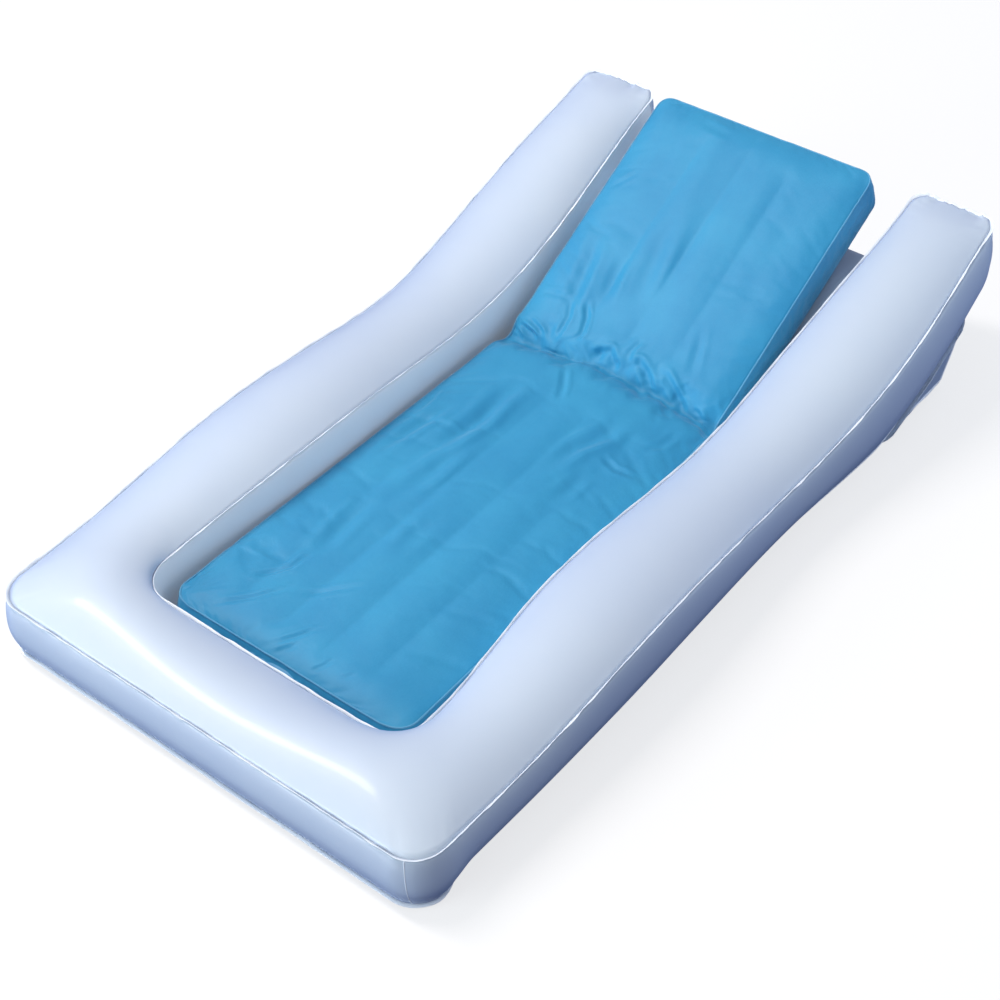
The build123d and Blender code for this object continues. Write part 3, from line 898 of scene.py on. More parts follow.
# ---- weld flanges --------------------------------------------------------------------
def build_top_weld():
    """Wavy flange leaning up and out of the top seam."""
    lean = unit(np.column_stack([LOOP_NORMALS * 0.80, np.full(len(LOOP), 0.60)]))
    tangents = ring_tangents(TOP_EDGE)
    across = unit(np.cross(tangents, lean))
    wave = 0.42 * loop_noise(0.028, seed=71, octaves=2)
    direction = unit(lean + across * wave[:, None])
    width = 0.0044 * (1 + 0.22 * loop_noise(0.03, seed=72))
    width = width * (1 + 0.35 * np.clip(CORNERNESS, 0, 1))
    side = np.cross(tangents, direction)
    return ribbon(
        "frame_top_weld", TOP_EDGE + lean * 0.0002, direction, side, width, 0.0011, closed=True
    )


def build_bottom_weld():
    """Flange lying almost flat outside the bottom seam, wider at the foot."""
    tangents = ring_tangents(BOTTOM_EDGE)
    lean = unit(np.column_stack([LOOP_NORMALS, np.full(len(LOOP), -0.10)]))
    at_foot = ease(FOOT + 0.12 - BOTTOM_EDGE[:, 1], span=0.06) * (LOOP_ZONES == OUTER)
    wave = 0.22 * loop_noise(0.045, seed=73, octaves=2) * (0.3 + at_foot)
    direction = unit(lean + np.array([0, 0, 1.0]) * wave[:, None])
    width = 0.0045 + 0.0045 * at_foot * (1 + 0.25 * loop_noise(0.06, seed=74))
    path = BOTTOM_EDGE.copy()
    path[:, 2] = np.maximum(path[:, 2], 0.002)
    side = np.cross(tangents, direction)
    return ribbon("frame_bottom_weld", path, direction, side, width, 0.0012, closed=True)


def build_strip_laps():
    """Upright laps: one at the foot's +x corner, and one at each edge of the arm ends."""
    corner_x, corner_y = arc(OUTER_CORNER, OUTER_R, -62, 0, 1)[0]
    corner = int(np.argmin(np.hypot(LOOP[:, 0] - corner_x, LOOP[:, 1] - corner_y)))
    places = [corner] + [run[1] for run in END_RUNS] + [run[-2] for run in END_RUNS]
    laps = []
    for i, place in enumerate(places):
        path = WALL[place]
        tangent = unit(np.append(LOOP[(place + 1) % len(LOOP)] - LOOP[place - 1], 0.0))
        width = 0.0011
        if i == 0:
            # the corner lap leans sideways and is slightly lower
            path = path + tangent * np.linspace(-0.0035, 0.004, len(path))[:, None]
            width = 0.0010
        laps.append(ribbon("lap_%d" % i, path, OUT[place], tangent, width, 0.0022))
    return join("frame_strip_laps", laps)


weld_top = build_top_weld()
weld_bottom = build_bottom_weld()
weld_laps = build_strip_laps()

for piece, material in (
    (frame_outer, FRAME_FILM),
    (frame_inner, OPENING_FILM_PAINTED_LIGHT),
    (frame_ends, FRAME_FILM),
    (frame_top, FRAME_FILM),
    (frame_bottom, FRAME_FILM),
    (weld_top, WELD_FILM),
    (weld_bottom, WELD_FILM),
    (weld_laps, WELD_FILM),
):
    fit_piece(piece, material, "float")
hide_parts("hull_outer_wall")
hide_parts("hull_inner_wall")
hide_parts("arm_end_panels")
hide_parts("hull_top_panel")
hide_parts("hull_bottom_panel")
cut_well(frame_ends, "hull")

# ---- mattress cover: seat and backrest in one piece of fabric --------------------------
# On the mattress, "run" is the length from the seat's foot edge, through the hinge, to the
# backrest's top edge; depth is measured out of the top datum.
RECLINE = math.radians(28.5)
HINGE = np.array([0.0, 0.294, 0.098])
BACK_UP = np.array([0, math.cos(RECLINE), math.sin(RECLINE)])
BACK_OUT = np.array([0, -math.sin(RECLINE), math.cos(RECLINE)])
HALF_UP = np.array([0, math.cos(RECLINE / 2), math.sin(RECLINE / 2)])
HALF_OUT = np.array([0, -math.sin(RECLINE / 2), math.cos(RECLINE / 2)])
SEAT_FOOT, SEAT_Z = -0.747, 0.0985
HINGE_RUN, BACK_LENGTH = 1.041, 0.660
END_RUN = HINGE_RUN + BACK_LENGTH - 0.002
FOLD_SPAN = 0.060  # finely divided length on either side of the hinge
FOOT_R, HEAD_R = 0.054, 0.027  # plan corner radii of the seat's foot and the backrest's top
# run of the crease between seat and backrest, against x
crease_run = cubic_spline(
    [-0.29, -0.25, -0.2, -0.13, -0.09, -0.035, 0.012, 0.073, 0.124, 0.18, 0.24, 0.29],
    [1.028, 1.029, 1.035, 1.040, 1.043, 1.056, 1.054, 1.050, 1.051, 1.047, 1.039, 1.033],
)


def half_width(run):
    width = np.interp(
        run,
        [0, HINGE_RUN - 0.04, HINGE_RUN, HINGE_RUN + 0.04, END_RUN],
        [0.2935, 0.2755, 0.2680, 0.2715, 0.2725],
    )
    for past, radius in ((FOOT_R - run, FOOT_R), (run - (END_RUN - HEAD_R), HEAD_R)):
        height = np.sqrt(np.maximum(radius**2 - np.clip(past, 0, radius) ** 2, 0))
        width = np.where(past > 0, width - radius + height, width)
    return width


def cover_rows(step=0.0078):
    """Runs of the cover's rows: close together at the rounded ends and at the hinge."""
    foot = FOOT_R * (1 - np.cos(np.linspace(0, math.pi / 2, 12)))
    head = (END_RUN - HEAD_R * (1 - np.cos(np.linspace(0, math.pi / 2, 8))))[::-1]
    seat_count = int(round((HINGE_RUN - FOLD_SPAN - FOOT_R) / step))
    back_count = int(round((END_RUN - HEAD_R - HINGE_RUN - FOLD_SPAN) / step))
    fold_start, fold_end = HINGE_RUN - FOLD_SPAN, HINGE_RUN + FOLD_SPAN
    return np.concatenate(
        [
            foot,
            np.linspace(FOOT_R, fold_start, seat_count + 1)[1:],
            np.linspace(fold_start, fold_end, 25)[1:],
            np.linspace(fold_end, END_RUN - HEAD_R, back_count + 1)[1:],
            head[1:],
        ]
    )


ROW_RUNS = cover_rows()
ROWS, COLUMNS = len(ROW_RUNS), 75
SHEET_SIZE = ROWS * COLUMNS
ROW_WIDTHS = half_width(ROW_RUNS)
GRID_X = ROW_WIDTHS[:, None] * np.linspace(-1, 1, COLUMNS)[None, :]
GRID_RUN = np.repeat(ROW_RUNS[:, None], COLUMNS, 1)
# grid indices round the cover's edge
RIM_ROWS, RIM_COLUMNS = np.array(
    [(0, j) for j in range(COLUMNS)]
    + [(i, COLUMNS - 1) for i in range(1, ROWS)]
    + [(ROWS - 1, j) for j in range(COLUMNS - 2, -1, -1)]
    + [(i, 0) for i in range(ROWS - 2, 0, -1)]
).T
RIM = RIM_ROWS * COLUMNS + RIM_COLUMNS


def top_datum(run):
    """Point on the top datum, and the direction out of it, turning smoothly at the hinge."""
    seat = np.stack([0 * run, SEAT_FOOT + run, 0 * run + SEAT_Z], -1)
    back = HINGE + (run - HINGE_RUN)[..., None] * BACK_UP
    points = np.where((run <= HINGE_RUN)[..., None], seat, back)
    angle = ease(run, HINGE_RUN - 0.030, 0.060) * RECLINE
    return points, np.stack([0 * run, -np.sin(angle), np.cos(angle)], -1)


def crown(x, run, width):
    """Height over the datum: broad crown, lower along the edges, dipping into the crease."""
    share = np.abs(x) / width
    from_side = (1 - share) * width
    from_end = np.minimum(run, END_RUN - run)
    rise = (
        0.0190 * (1 - np.exp(-from_side / 0.050)) * (1 - np.exp(-from_end / 0.050))
        - 0.0085
        + 0.0065 * np.exp(-run / 0.045)
    )
    from_crease = run - crease_run(x)
    valley = np.exp(-((np.abs(from_crease) / 0.021) ** 1.25))
    depth = 0.0165 + 0.0025 * line_noise(x.ravel(), 0.05, 21).reshape(x.shape)
    seat_swell = 0.0035 * bell(from_crease + 0.045, 0.028)
    back_swell = 0.0045 * bell(from_crease - 0.047, 0.026)
    return rise - depth * valley * (1 - 0.35 * share**6) + seat_swell + back_swell


def underside(run):
    """Seat base, the seat's rear face up to the neck, the backrest's lower face and back."""
    base_z, back_depth, neck_z = 0.0085, -0.1035, 0.0750
    seat_end = 0.2445
    fold_start, fold_end = HINGE_RUN - FOLD_SPAN, HINGE_RUN + FOLD_SPAN
    points = np.zeros(run.shape + (3,))

    base = run <= fold_start
    points[base, 1] = SEAT_FOOT + run[base] / fold_start * (seat_end - SEAT_FOOT)
    points[base, 2] = base_z

    rear = (run > fold_start) & (run <= HINGE_RUN)
    knots = [0, 0.043, 0.112, 0.1155]
    place = (run[rear] - fold_start) / FOLD_SPAN * knots[-1]
    points[rear, 1] = np.interp(place, knots, [seat_end, 0.2880, 0.2885, 0.2925])
    points[rear, 2] = np.interp(place, knots, [base_z, base_z, neck_z, neck_z + 0.0015])

    lower = (run > HINGE_RUN) & (run <= fold_end)
    knots = [0, 0.004, 0.084, 0.125]
    back_start = 0.046
    place = (run[lower] - HINGE_RUN) / FOLD_SPAN * knots[-1]
    rise = np.interp(place, knots, [0.001, 0.0050, 0.0055, back_start])
    depth = np.interp(place, knots, [-0.0215, -0.0235, back_depth, back_depth])
    points[lower] = HINGE + rise[:, None] * BACK_UP + depth[:, None] * BACK_OUT

    back = run > fold_end
    share = (run[back] - HINGE_RUN - FOLD_SPAN) / (END_RUN - HINGE_RUN - FOLD_SPAN)
    # same order of operations for every row, so that the last one lands on the top edge
    rise = back_start + share * (END_RUN - HINGE_RUN - back_start)
    points[back] = HINGE + rise[:, None] * BACK_UP + back_depth * BACK_OUT
    return points


def build_cover(bands=9):
    """Top sheet, underside, and between them a boxing band round the edge."""
    datum, out = top_datum(GRID_RUN)
    # the tiny addition keeps the outermost points just inside the half width
    height = crown(GRID_X, GRID_RUN, ROW_WIDTHS[:, None] + 1e-9)
    top = datum + out * height[..., None]
    top[..., 0] = GRID_X * (1 - 0.014 * np.exp(-GRID_RUN / 0.12))
    top[..., 1] += 0.0200 * np.exp(-GRID_RUN / 0.090)
    bottom = underside(GRID_RUN)
    bottom[..., 0] = GRID_X * (1 - 0.004 / ROW_WIDTHS)[:, None]

    top_rim, bottom_rim = top[RIM_ROWS, RIM_COLUMNS], bottom[RIM_ROWS, RIM_COLUMNS]
    rim_run = GRID_RUN[RIM_ROWS, RIM_COLUMNS]
    plan = np.column_stack([GRID_X[RIM_ROWS, RIM_COLUMNS], rim_run])
    normals = soften(outward(ring_tangents(plan)), 3, directions=True)
    along = np.where((rim_run <= HINGE_RUN)[:, None], np.array([0, 1.0, 0]), BACK_UP)
    rim_out = normals[:, :1] * np.array([1.0, 0, 0]) + normals[:, 1:] * along
    down = np.linspace(0, 1, bands + 2)[1:-1]
    height = np.linalg.norm(top_rim - bottom_rim, axis=1)
    band = top_rim[None] * (1 - down)[:, None, None] + bottom_rim[None] * down[:, None, None]
    bulge = 0.0045 * np.clip(height / 0.09, 0.1, 1)
    band = band + rim_out[None] * (bulge[None, :] * (4 * down * (1 - down))[:, None])[..., None]

    faces = grid_faces(ROWS, COLUMNS) + grid_faces(ROWS, COLUMNS, flip=True, base=SHEET_SIZE)
    count = len(RIM)
    rings = [2 * SHEET_SIZE + i * count + np.arange(count) for i in range(bands)]
    rings = [RIM] + rings + [SHEET_SIZE + RIM]
    for upper, lower in zip(rings, rings[1:]):
        for i in range(count):
            j = (i + 1) % count
            faces.append((upper[i], lower[i], lower[j], upper[j]))
    vertices = np.concatenate([top.reshape(-1, 3), bottom.reshape(-1, 3), band.reshape(-1, 3)])
    return smooth_solid("mattress_cover", vertices, faces)


# folds in the fabric: points (x, run) in metres, then depth and half width in mm
FOLDS = [
    ([(-0.208, 0.031), (-0.178, 0.059), (-0.152, 0.087), (-0.132, 0.112), (-0.108, 0.15),
      (-0.098, 0.181)], 3.3, 7),
    ([(-0.199, 0.13), (-0.178, 0.15), (-0.158, 0.175), (-0.139, 0.203), (-0.136, 0.236),
      (-0.124, 0.272)], 3.5, 8),
    ([(-0.09, 0.15), (-0.05, 0.184), (-0.017, 0.218), (0.021, 0.261)], 2.2, 8),
    ([(-0.05, 0.026), (-0.025, 0.053), (-0.009, 0.076), (0.005, 0.102), (0.025, 0.13)], 2.7, 6),
    ([(-0.026, 0.022), (-0.002, 0.05), (0.007, 0.066)], 1.5, 6),
    ([(0.063, 0.028), (0.078, 0.049), (0.087, 0.077)], 1.8, 6),
    ([(-0.299, 0.072), (-0.279, 0.094), (-0.259, 0.115)], 2.0, 5),
    ([(-0.279, 0.043), (-0.266, 0.06)], 2.0, 6),
    ([(0.124, 0.047), (0.142, 0.07)], 1.2, 6),
    ([(-0.144, 0.23), (-0.133, 0.29), (-0.141, 0.372), (-0.141, 0.462)], 6.0, 21),
    ([(-0.005, 0.335), (-0.003, 0.423), (0.016, 0.491)], 2.8, 20),
    ([(-0.271, 0.824), (-0.268, 0.797), (-0.258, 0.759), (-0.25, 0.7)], 3.0, 10),
    ([(-0.1, 0.951), (-0.128, 0.901), (-0.132, 0.837), (-0.125, 0.761), (-0.141, 0.651),
      (-0.157, 0.543)], 9.5, 24),
    ([(-0.204, 0.799), (-0.212, 0.736), (-0.227, 0.625), (-0.236, 0.541)], 6.5, 18),
    ([(-0.082, 0.998), (-0.046, 0.942), (-0.025, 0.897)], 2.5, 9),
    ([(0.115, 0.942), (0.116, 0.871), (0.089, 0.804), (0.078, 0.701)], 7.0, 20),
    ([(0.138, 0.823), (0.189, 0.804), (0.243, 0.815)], 2.0, 9),
    ([(0.228, 0.979), (0.222, 0.916), (0.194, 0.884)], 2.0, 10),
    ([(0.149, 0.774), (0.152, 0.702), (0.139, 0.637)], 3.4, 16),
    ([(-0.102, 0.7), (-0.099, 0.568), (-0.122, 0.44)], 4.5, 22),
    ([(-0.261, 1.068), (-0.238, 1.062), (-0.215, 1.056), (-0.195, 1.047)], 5.0, 7),
    ([(-0.273, 1.06), (-0.25, 1.051), (-0.233, 1.037)], 3.0, 5),
    ([(-0.24, 1.085), (-0.212, 1.076), (-0.18, 1.061)], 2.5, 6),
    ([(-0.143, 1.178), (-0.116, 1.141), (-0.102, 1.103), (-0.107, 1.071)], 3.5, 8),
    ([(-0.174, 1.164), (-0.154, 1.124), (-0.152, 1.093), (-0.155, 1.057)], 3.0, 8),
    ([(-0.064, 1.062), (-0.039, 1.081), (-0.021, 1.089), (-0.007, 1.075), (0.024, 1.063)],
     5.2, 11),
    ([(0.037, 1.069), (0.053, 1.092), (0.075, 1.082), (0.099, 1.059), (0.123, 1.042)], 5.2, 11),
    ([(0.104, 1.1), (0.126, 1.09), (0.153, 1.072), (0.179, 1.054), (0.197, 1.037)], 5.0, 10),
    ([(0.204, 1.055), (0.227, 1.053), (0.248, 1.04)], 3.0, 6),
    ([(0.032, 1.145), (0.024, 1.121), (0.021, 1.093)], 2.5, 8),
    ([(-0.22, 1.356), (-0.191, 1.264), (-0.174, 1.177), (-0.156, 1.07)], 4.6, 20),
    ([(-0.127, 1.319), (-0.111, 1.232), (-0.099, 1.165)], 3.4, 18),
    ([(-0.077, 1.477), (-0.061, 1.362), (-0.042, 1.249), (-0.018, 1.154)], 4.2, 26),
    ([(-0.042, 1.684), (-0.024, 1.526), (-0.003, 1.387), (0.031, 1.229)], 1.2, 26),
    ([(-0.253, 1.444), (-0.228, 1.469), (-0.207, 1.5)], 1.6, 8),
    ([(-0.151, 1.668), (-0.092, 1.658), (-0.053, 1.657)], 1.2, 12),
    ([(0.124, 1.244), (0.145, 1.189), (0.165, 1.129), (0.182, 1.09)], 1.8, 12),
    ([(-0.256, 1.154), (-0.205, 1.161), (-0.174, 1.164)], 1.6, 9),
]


def fold_relief(x, run):
    """Height of the folds: a valley along each line, with a higher lip on its left."""
    relief = np.zeros(len(x))
    for points, depth, half in FOLDS:
        line = np.array(points)
        width = half * MM * 0.8
        low, high = line.min(0) - 4 * width, line.max(0) + 4 * width
        near = np.where((x > low[0]) & (x < high[0]) & (run > low[1]) & (run < high[1]))[0]
        if not len(near):
            continue
        spots = np.column_stack([x[near], run[near]])
        lengths = np.linalg.norm(np.diff(line, axis=0), axis=1)
        total, done = lengths.sum(), 0.0
        nearest = np.full(len(near), 1e9)
        side, place = np.zeros(len(near)), np.zeros(len(near))
        for start, stop, length in zip(line[:-1], line[1:], lengths):
            heading = (stop - start) / length
            travel = np.clip((spots - start) @ heading, 0, length)
            offset = spots - (start + travel[:, None] * heading)
            distance = np.linalg.norm(offset, axis=1)
            turn = np.sign(heading[0] * offset[:, 1] - heading[1] * offset[:, 0])
            closer = distance < nearest
            nearest[closer] = distance[closer]
            side[closer] = turn[closer]
            place[closer] = (done + travel[closer]) / total
            done += length
        fade = ease(np.minimum(place, 1 - place) / (0.28 if total < 0.12 else 0.46))
        distance = nearest / width
        lips = np.where(side > 0, 0.75, 0.40) * bell(distance - 1.75, 0.85)
        cutoff = np.exp(-np.clip(distance - 2.0, 0, 9) ** 2)
        relief[near] += depth * MM * (lips - np.exp(-(distance**2))) * fade * cutoff
    return relief


def mattress_coords(points):
    """Run and depth of points on the mattress, and which of them lie on the backrest."""
    on_back = ((points - HINGE) @ HALF_UP) > 0
    run = np.where(on_back, HINGE_RUN + (points - HINGE) @ BACK_UP, points[:, 1] - SEAT_FOOT)
    depth = np.where(on_back, (points - HINGE) @ BACK_OUT, points[:, 2] - SEAT_Z)
    return run, depth, on_back


def add_group(piece, name, weights):
    group = piece.vertex_groups.new(name=name)
    for i, weight in enumerate(weights):
        group.add([i], float(weight), "REPLACE")


def inflate_cover(cover):
    """Cloth pass: pressure fills the loose fabric; it buckles at the crease and one corner."""
    before = get_coords(cover)
    count = len(before)
    top, bottom, band = slice(0, SHEET_SIZE), slice(SHEET_SIZE, 2 * SHEET_SIZE), slice(
        2 * SHEET_SIZE, None
    )
    x, run = GRID_X.ravel(), GRID_RUN.ravel()
    from_crease = np.abs(run - crease_run(x))

    held = np.zeros(count)
    held[bottom] = 1.0
    held[band] = 0.25
    held[top] = np.where(from_crease < 0.006, 0.80, 0.0)
    # lightly held lines along the seat and the backrest: their x, then start and end run
    for lines, start, stop in (
        ((-0.165, -0.055, 0.055, 0.165), 0.09, 0.90),
        ((-0.110, 0.0, 0.110), 1.13, 1.61),
    ):
        for line_x in lines:
            on_line = (np.abs(x - line_x) < 0.005) & (run > start) & (run < stop)
            held[top] = np.maximum(held[top], np.where(on_line, 0.26, 0))
    held[RIM] = np.maximum(held[RIM], 0.60)

    # spare cloth: near the crease and at the -x foot corner
    spare = np.zeros(count)
    corner = np.hypot(x + 0.22, run - 0.08)
    spare[top] = 0.10 + 0.80 * bell(from_crease, 0.060) + 0.55 * bell(corner, 0.12)
    spare[top] *= 0.7 + 0.5 * space_noise(x, run, 0, 0.12, 33)
    spare[band] = 0.25
    add_group(cover, "held", held)
    add_group(cover, "tight", 1 - np.clip(spare, 0, 1))

    modifier = cover.modifiers.new("fabric", "CLOTH")
    settings = modifier.settings
    settings.quality = 4
    settings.mass = 0.25
    settings.air_damping = 2.0
    settings.compression_stiffness = 22
    settings.tension_stiffness = 22
    settings.shear_stiffness = 6
    settings.bending_stiffness = 0.35
    settings.compression_damping = 8
    settings.tension_damping = 8
    settings.vertex_group_mass = "held"
    settings.pin_stiffness = 1.2
    settings.use_pressure = True
    settings.uniform_pressure_force = 3.0
    settings.vertex_group_shrink = "tight"
    settings.shrink_min = -0.085
    settings.shrink_max = 0.0
    settings.effector_weights.gravity = 0.0
    modifier.collision_settings.use_collision = False
    modifier.collision_settings.use_self_collision = False
    scene = bpy.context.scene
    for timeline in (scene, modifier.point_cache):
        timeline.frame_start = 1
        timeline.frame_end = 20
    for i in range(1, 19):
        scene.frame_set(i)
    evaluated = cover.evaluated_get(bpy.context.evaluated_depsgraph_get())
    move = get_coords(evaluated) - before
    # the solver can drift a flat sheet as a whole: cap how far a point may go
    cap = np.full(count, 0.0095)
    cap[band] = 0.0045
    cap[bottom] = 0.0015
    length = np.linalg.norm(move, axis=1)
    move = move * (cap * np.tanh(length / cap) / np.maximum(length, 1e-9))[:, None]
    cover.modifiers.remove(modifier)
    cover.vertex_groups.clear()
    scene.frame_set(1)
    set_coords(cover, before + move)


def subdivide(piece):
    modifier = piece.modifiers.new("sub", "SUBSURF")
    modifier.levels = modifier.render_levels = 1
    apply_modifier(piece, modifier)


def wrinkle_height(coords, normals):
    """How far each point of the cover is pushed along its normal by folds and gathers."""
    x = coords[:, 0]
    run, depth, _ = mattress_coords(coords)
    on_top = ease(depth, -0.030, 0.016) * ease(normals @ HALF_OUT, 0.2, 0.4)
    width = half_width(np.clip(run, 0, END_RUN))
    inset = np.minimum(width - np.abs(x), np.minimum(run, END_RUN - run))
    inset = np.maximum(inset, 0)
    # small gathers along the boxing seam
    seam = line_noise(x * 3.0 + run * 1.7, 0.030, 51, octaves=2) * 0.0007 * np.exp(-inset / 0.018)
    # gathers fanning out of the crease: short, then longer
    past = run - crease_run(x)
    short = space_noise(x + 0.35 * past, past * 0.30, 0, 0.024, 52)
    fan = short * 0.0034 * np.exp(-((np.abs(past) / 0.050) ** 1.3))
    long = space_noise(x + 0.2 * past, past * 0.22, 3, 0.050, 53, octaves=1)
    fan += long * 0.0030 * np.exp(-((np.abs(past) / 0.095) ** 1.5))
    # gathers radiating from the -x foot corner
    corner_x, corner_run = -0.262, 0.035
    radius = np.hypot(x - corner_x, run - corner_run)
    angle = np.arctan2(run - corner_run, x - corner_x)
    fan += 0.0016 * line_noise(angle, 0.20, 54, octaves=2) * bell(radius - 0.045, 0.045)
    # general slackness, drawn out along the mattress
    slack = space_noise(x + 0.05 * run, run * 0.16, 9, 0.062, 55) * 0.0034
    slack += space_noise(x, run * 0.6, 5, 0.11, 57, octaves=3) * 0.0010
    inner = 1 - np.exp(-inset / 0.010)
    height = (fold_relief(x, run) + fan + slack) * on_top * inner + seam * on_top
    on_side = (1 - on_top) * (depth > -0.095) * (depth < -0.006)
    height += on_side * space_noise(x, run * 0.9, depth * 0.6, 0.045, 56) * 0.0018
    return height


def wrinkle_cover(cover):
    """Adds the wrinkles, then flattens the cover where other pieces lie on it."""
    coords, normals = get_coords(cover), get_normals(cover)
    _, depth, on_back = mattress_coords(coords)
    coords = coords + normals * wrinkle_height(coords, normals)[:, None]
    coords[~on_back, 2] = np.maximum(coords[~on_back, 2], 0.0070)
    for valve in ("seat", "back"):
        origin, axis = valve_plane(valve)
        coords = flatten_at_valve(
            coords, origin, axis, blend=0.016, reach=0.020, sink=0.0002,
            facing=(normals @ axis) > 0.5,
        )
    # flat band behind the zip, across the backrest's rear face
    zip_rise, zip_depth = 0.600, 0.1050
    from_zip = np.abs((coords - (HINGE + zip_rise * BACK_UP)) @ BACK_UP)
    weight = (1 - ease(from_zip, 0.014, 0.010)) * (np.abs(coords[:, 0]) < 0.235)
    weight = weight * on_back * (depth < -0.09)
    coords -= BACK_OUT * (((coords - HINGE) @ BACK_OUT + zip_depth) * weight)[:, None]
    set_coords(cover, coords)
    return coords


cover = build_cover()
inflate_cover(cover)
subdivide(cover)
cover_coords = wrinkle_cover(cover)
paint(cover, COVER_FABRIC)

piping_path = soften(cover_coords[RIM], 2) + get_normals(cover)[RIM] * 0.0004
piping = cord("mattress_piping", piping_path, 0.0019)
lower_piping = cord("mattress_lower_piping", cover_coords[SHEET_SIZE + RIM], 0.0016)
for piece in (piping, lower_piping):
    paint(piece, SEAM_FABRIC)

cut_well(cover, "seat")
cut_well(cover, "back")
shade_smooth(cover)
for piece in (cover, piping, lower_piping):
    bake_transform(piece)


# ---- the air chambers inside the mattress ----------------------------------------------
def build_chamber(name, source, body, inset):
    """Copy of a CAD chamber, drawn in to stay under the cover."""
    original = NODES[source]
    mesh = original.data.copy()
    mesh.transform(original.matrix_world)
    piece = add_object(name, mesh)
    start = get_coords(piece)
    run, depth, on_back = mattress_coords(start)
    near_hinge = bell(run - HINGE_RUN, 0.040)
    upper = np.clip((depth + 0.100) / 0.100, 0, 1)
    out = np.where(on_back[:, None], BACK_OUT[None, :], np.array([[0, 0, 1.0]]))
    coords = start - out * ((inset + 0.022 * near_hinge) * upper)[:, None]
    coords[:, 0] *= 1 - inset / 0.28
    if body == "float":
        valve, middle = "seat", -0.35
        coords[:, 1] = middle + (coords[:, 1] - middle) * (1 - 2.0 * inset)
    else:
        valve, middle = "back", 0.33
        from_middle = (coords - HINGE) @ BACK_UP - middle
        coords -= BACK_UP[None, :] * (from_middle * 2.0 * inset / 0.5)[:, None]
    # left where it is round the valve welded into it
    height, radius = plane_coords(start, *valve_plane(valve))
    keep = ((1 - ease(radius, 0.030, 0.030)) * (np.abs(height) < 0.060))[:, None]
    set_coords(piece, coords * (1 - keep) + start * keep)
    shade_smooth(piece)
    fit_piece(piece, BLADDER_FILM, body)
    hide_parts(source)


build_chamber("seat_air_chamber", "seat_bladder", "float", inset=0.0120)
build_chamber("back_air_chamber", "back_bladder", "backrest", inset=0.0120)
build_chamber("seat_inner_webs", "seat_tie_webs", "float", inset=0.0125)
build_chamber("back_inner_webs", "back_tie_webs", "backrest", inset=0.0125)
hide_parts("seat_cover", "back_cover", "hinge_web")

# ---- the bolster under the arm ends and behind the backrest ----------------------------
# corners of its section: y and z, mm
BOLSTER_SECTION = MM * np.array(
    [(572, 2), (800, 2), (896, 156), (856, 213), (748, 213), (606, 136), (552, 62)]
)
BOLSTER_CORNER_R = 0.034
BOLSTER_POINTS = 120  # round the section
BOLSTER_HALF = 0.516  # half length, before the ends are drawn outwards
SECTION_RUN_LENGTH = 0.95  # nominal length round the section, for its noise
SECTION_RUN = np.arange(BOLSTER_POINTS) / BOLSTER_POINTS * SECTION_RUN_LENGTH


def bolster_profile():
    """The section with rounded corners, resampled evenly."""
    points = []
    for i, corner in enumerate(BOLSTER_SECTION):
        before = BOLSTER_SECTION[i - 1] - corner
        after = BOLSTER_SECTION[(i + 1) % len(BOLSTER_SECTION)] - corner
        half_angle = math.acos(np.clip(unit(before) @ unit(after), -1, 1)) / 2
        shorter = min(np.linalg.norm(before), np.linalg.norm(after))
        reach = min(BOLSTER_CORNER_R / math.tan(half_angle), 0.45 * shorter)
        start, stop = corner + unit(before) * reach, corner + unit(after) * reach
        for t in np.linspace(0, 1, 9):
            points.append((1 - t) ** 2 * start + 2 * t * (1 - t) * corner + t * t * stop)
    closed = np.array(points + points[:1])
    run = arc_length(closed)
    even = np.linspace(0, run[-1], BOLSTER_POINTS, endpoint=False)
    return np.column_stack([np.interp(even, run, closed[:, k]) for k in (0, 1)])


def bolster_grid():
    """Sections lofted along x; the outer lobes are pressed down below the arms."""
    stations = np.concatenate(
        [
            -np.linspace(BOLSTER_HALF, 0.500, 5),
            np.linspace(-0.492, 0.492, 118),
            np.linspace(0.500, BOLSTER_HALF, 5),
        ]
    )[:, None]
    profile = bolster_profile()
    normals = outward(ring_tangents(profile))
    from_middle = np.abs(stations)
    # the ends round in towards a seam; the sides bulge, more so beyond the crease
    rounding = (1 - np.clip((BOLSTER_HALF - from_middle) / 0.050, 0, 1)) ** 2
    pull = 0.030 * (1 - np.sqrt(1 - rounding))
    swell = (0.0035 + 0.018 * ease(from_middle, 0.33, 0.08)) * (1 - rounding) - pull
    y = profile[:, 0] + normals[:, 0] * swell
    z = profile[:, 1] + normals[:, 1] * swell
    limit = arm_under_z(y) - 0.0045
    z = z - ease(from_middle, 0.298, 0.020) * np.maximum(z - limit, 0)
    z = np.maximum(z - 0.0045 * bell(from_middle - 0.300, 0.012) * (z > 0.1), 0.0020)
    # film gathers at both end seams
    gather = 0.0022 * np.exp(-(BOLSTER_HALF - from_middle) / 0.030)
    gather = gather * np.clip((BOLSTER_HALF + 0.002 - from_middle) / 0.006, 0, 1)
    gather = gather * line_noise(SECTION_RUN, 0.03, 81, octaves=2, closed=SECTION_RUN_LENGTH)
    y = y + gather * normals[:, 0]
    z = np.maximum(z + gather * normals[:, 1], 0.0015)
    # the free ends are drawn a little further out
    x = stations + np.sign(stations) * 0.019 * ease(from_middle, 0.390, 0.120)
    return np.stack(np.broadcast_arrays(x, y, z), -1)


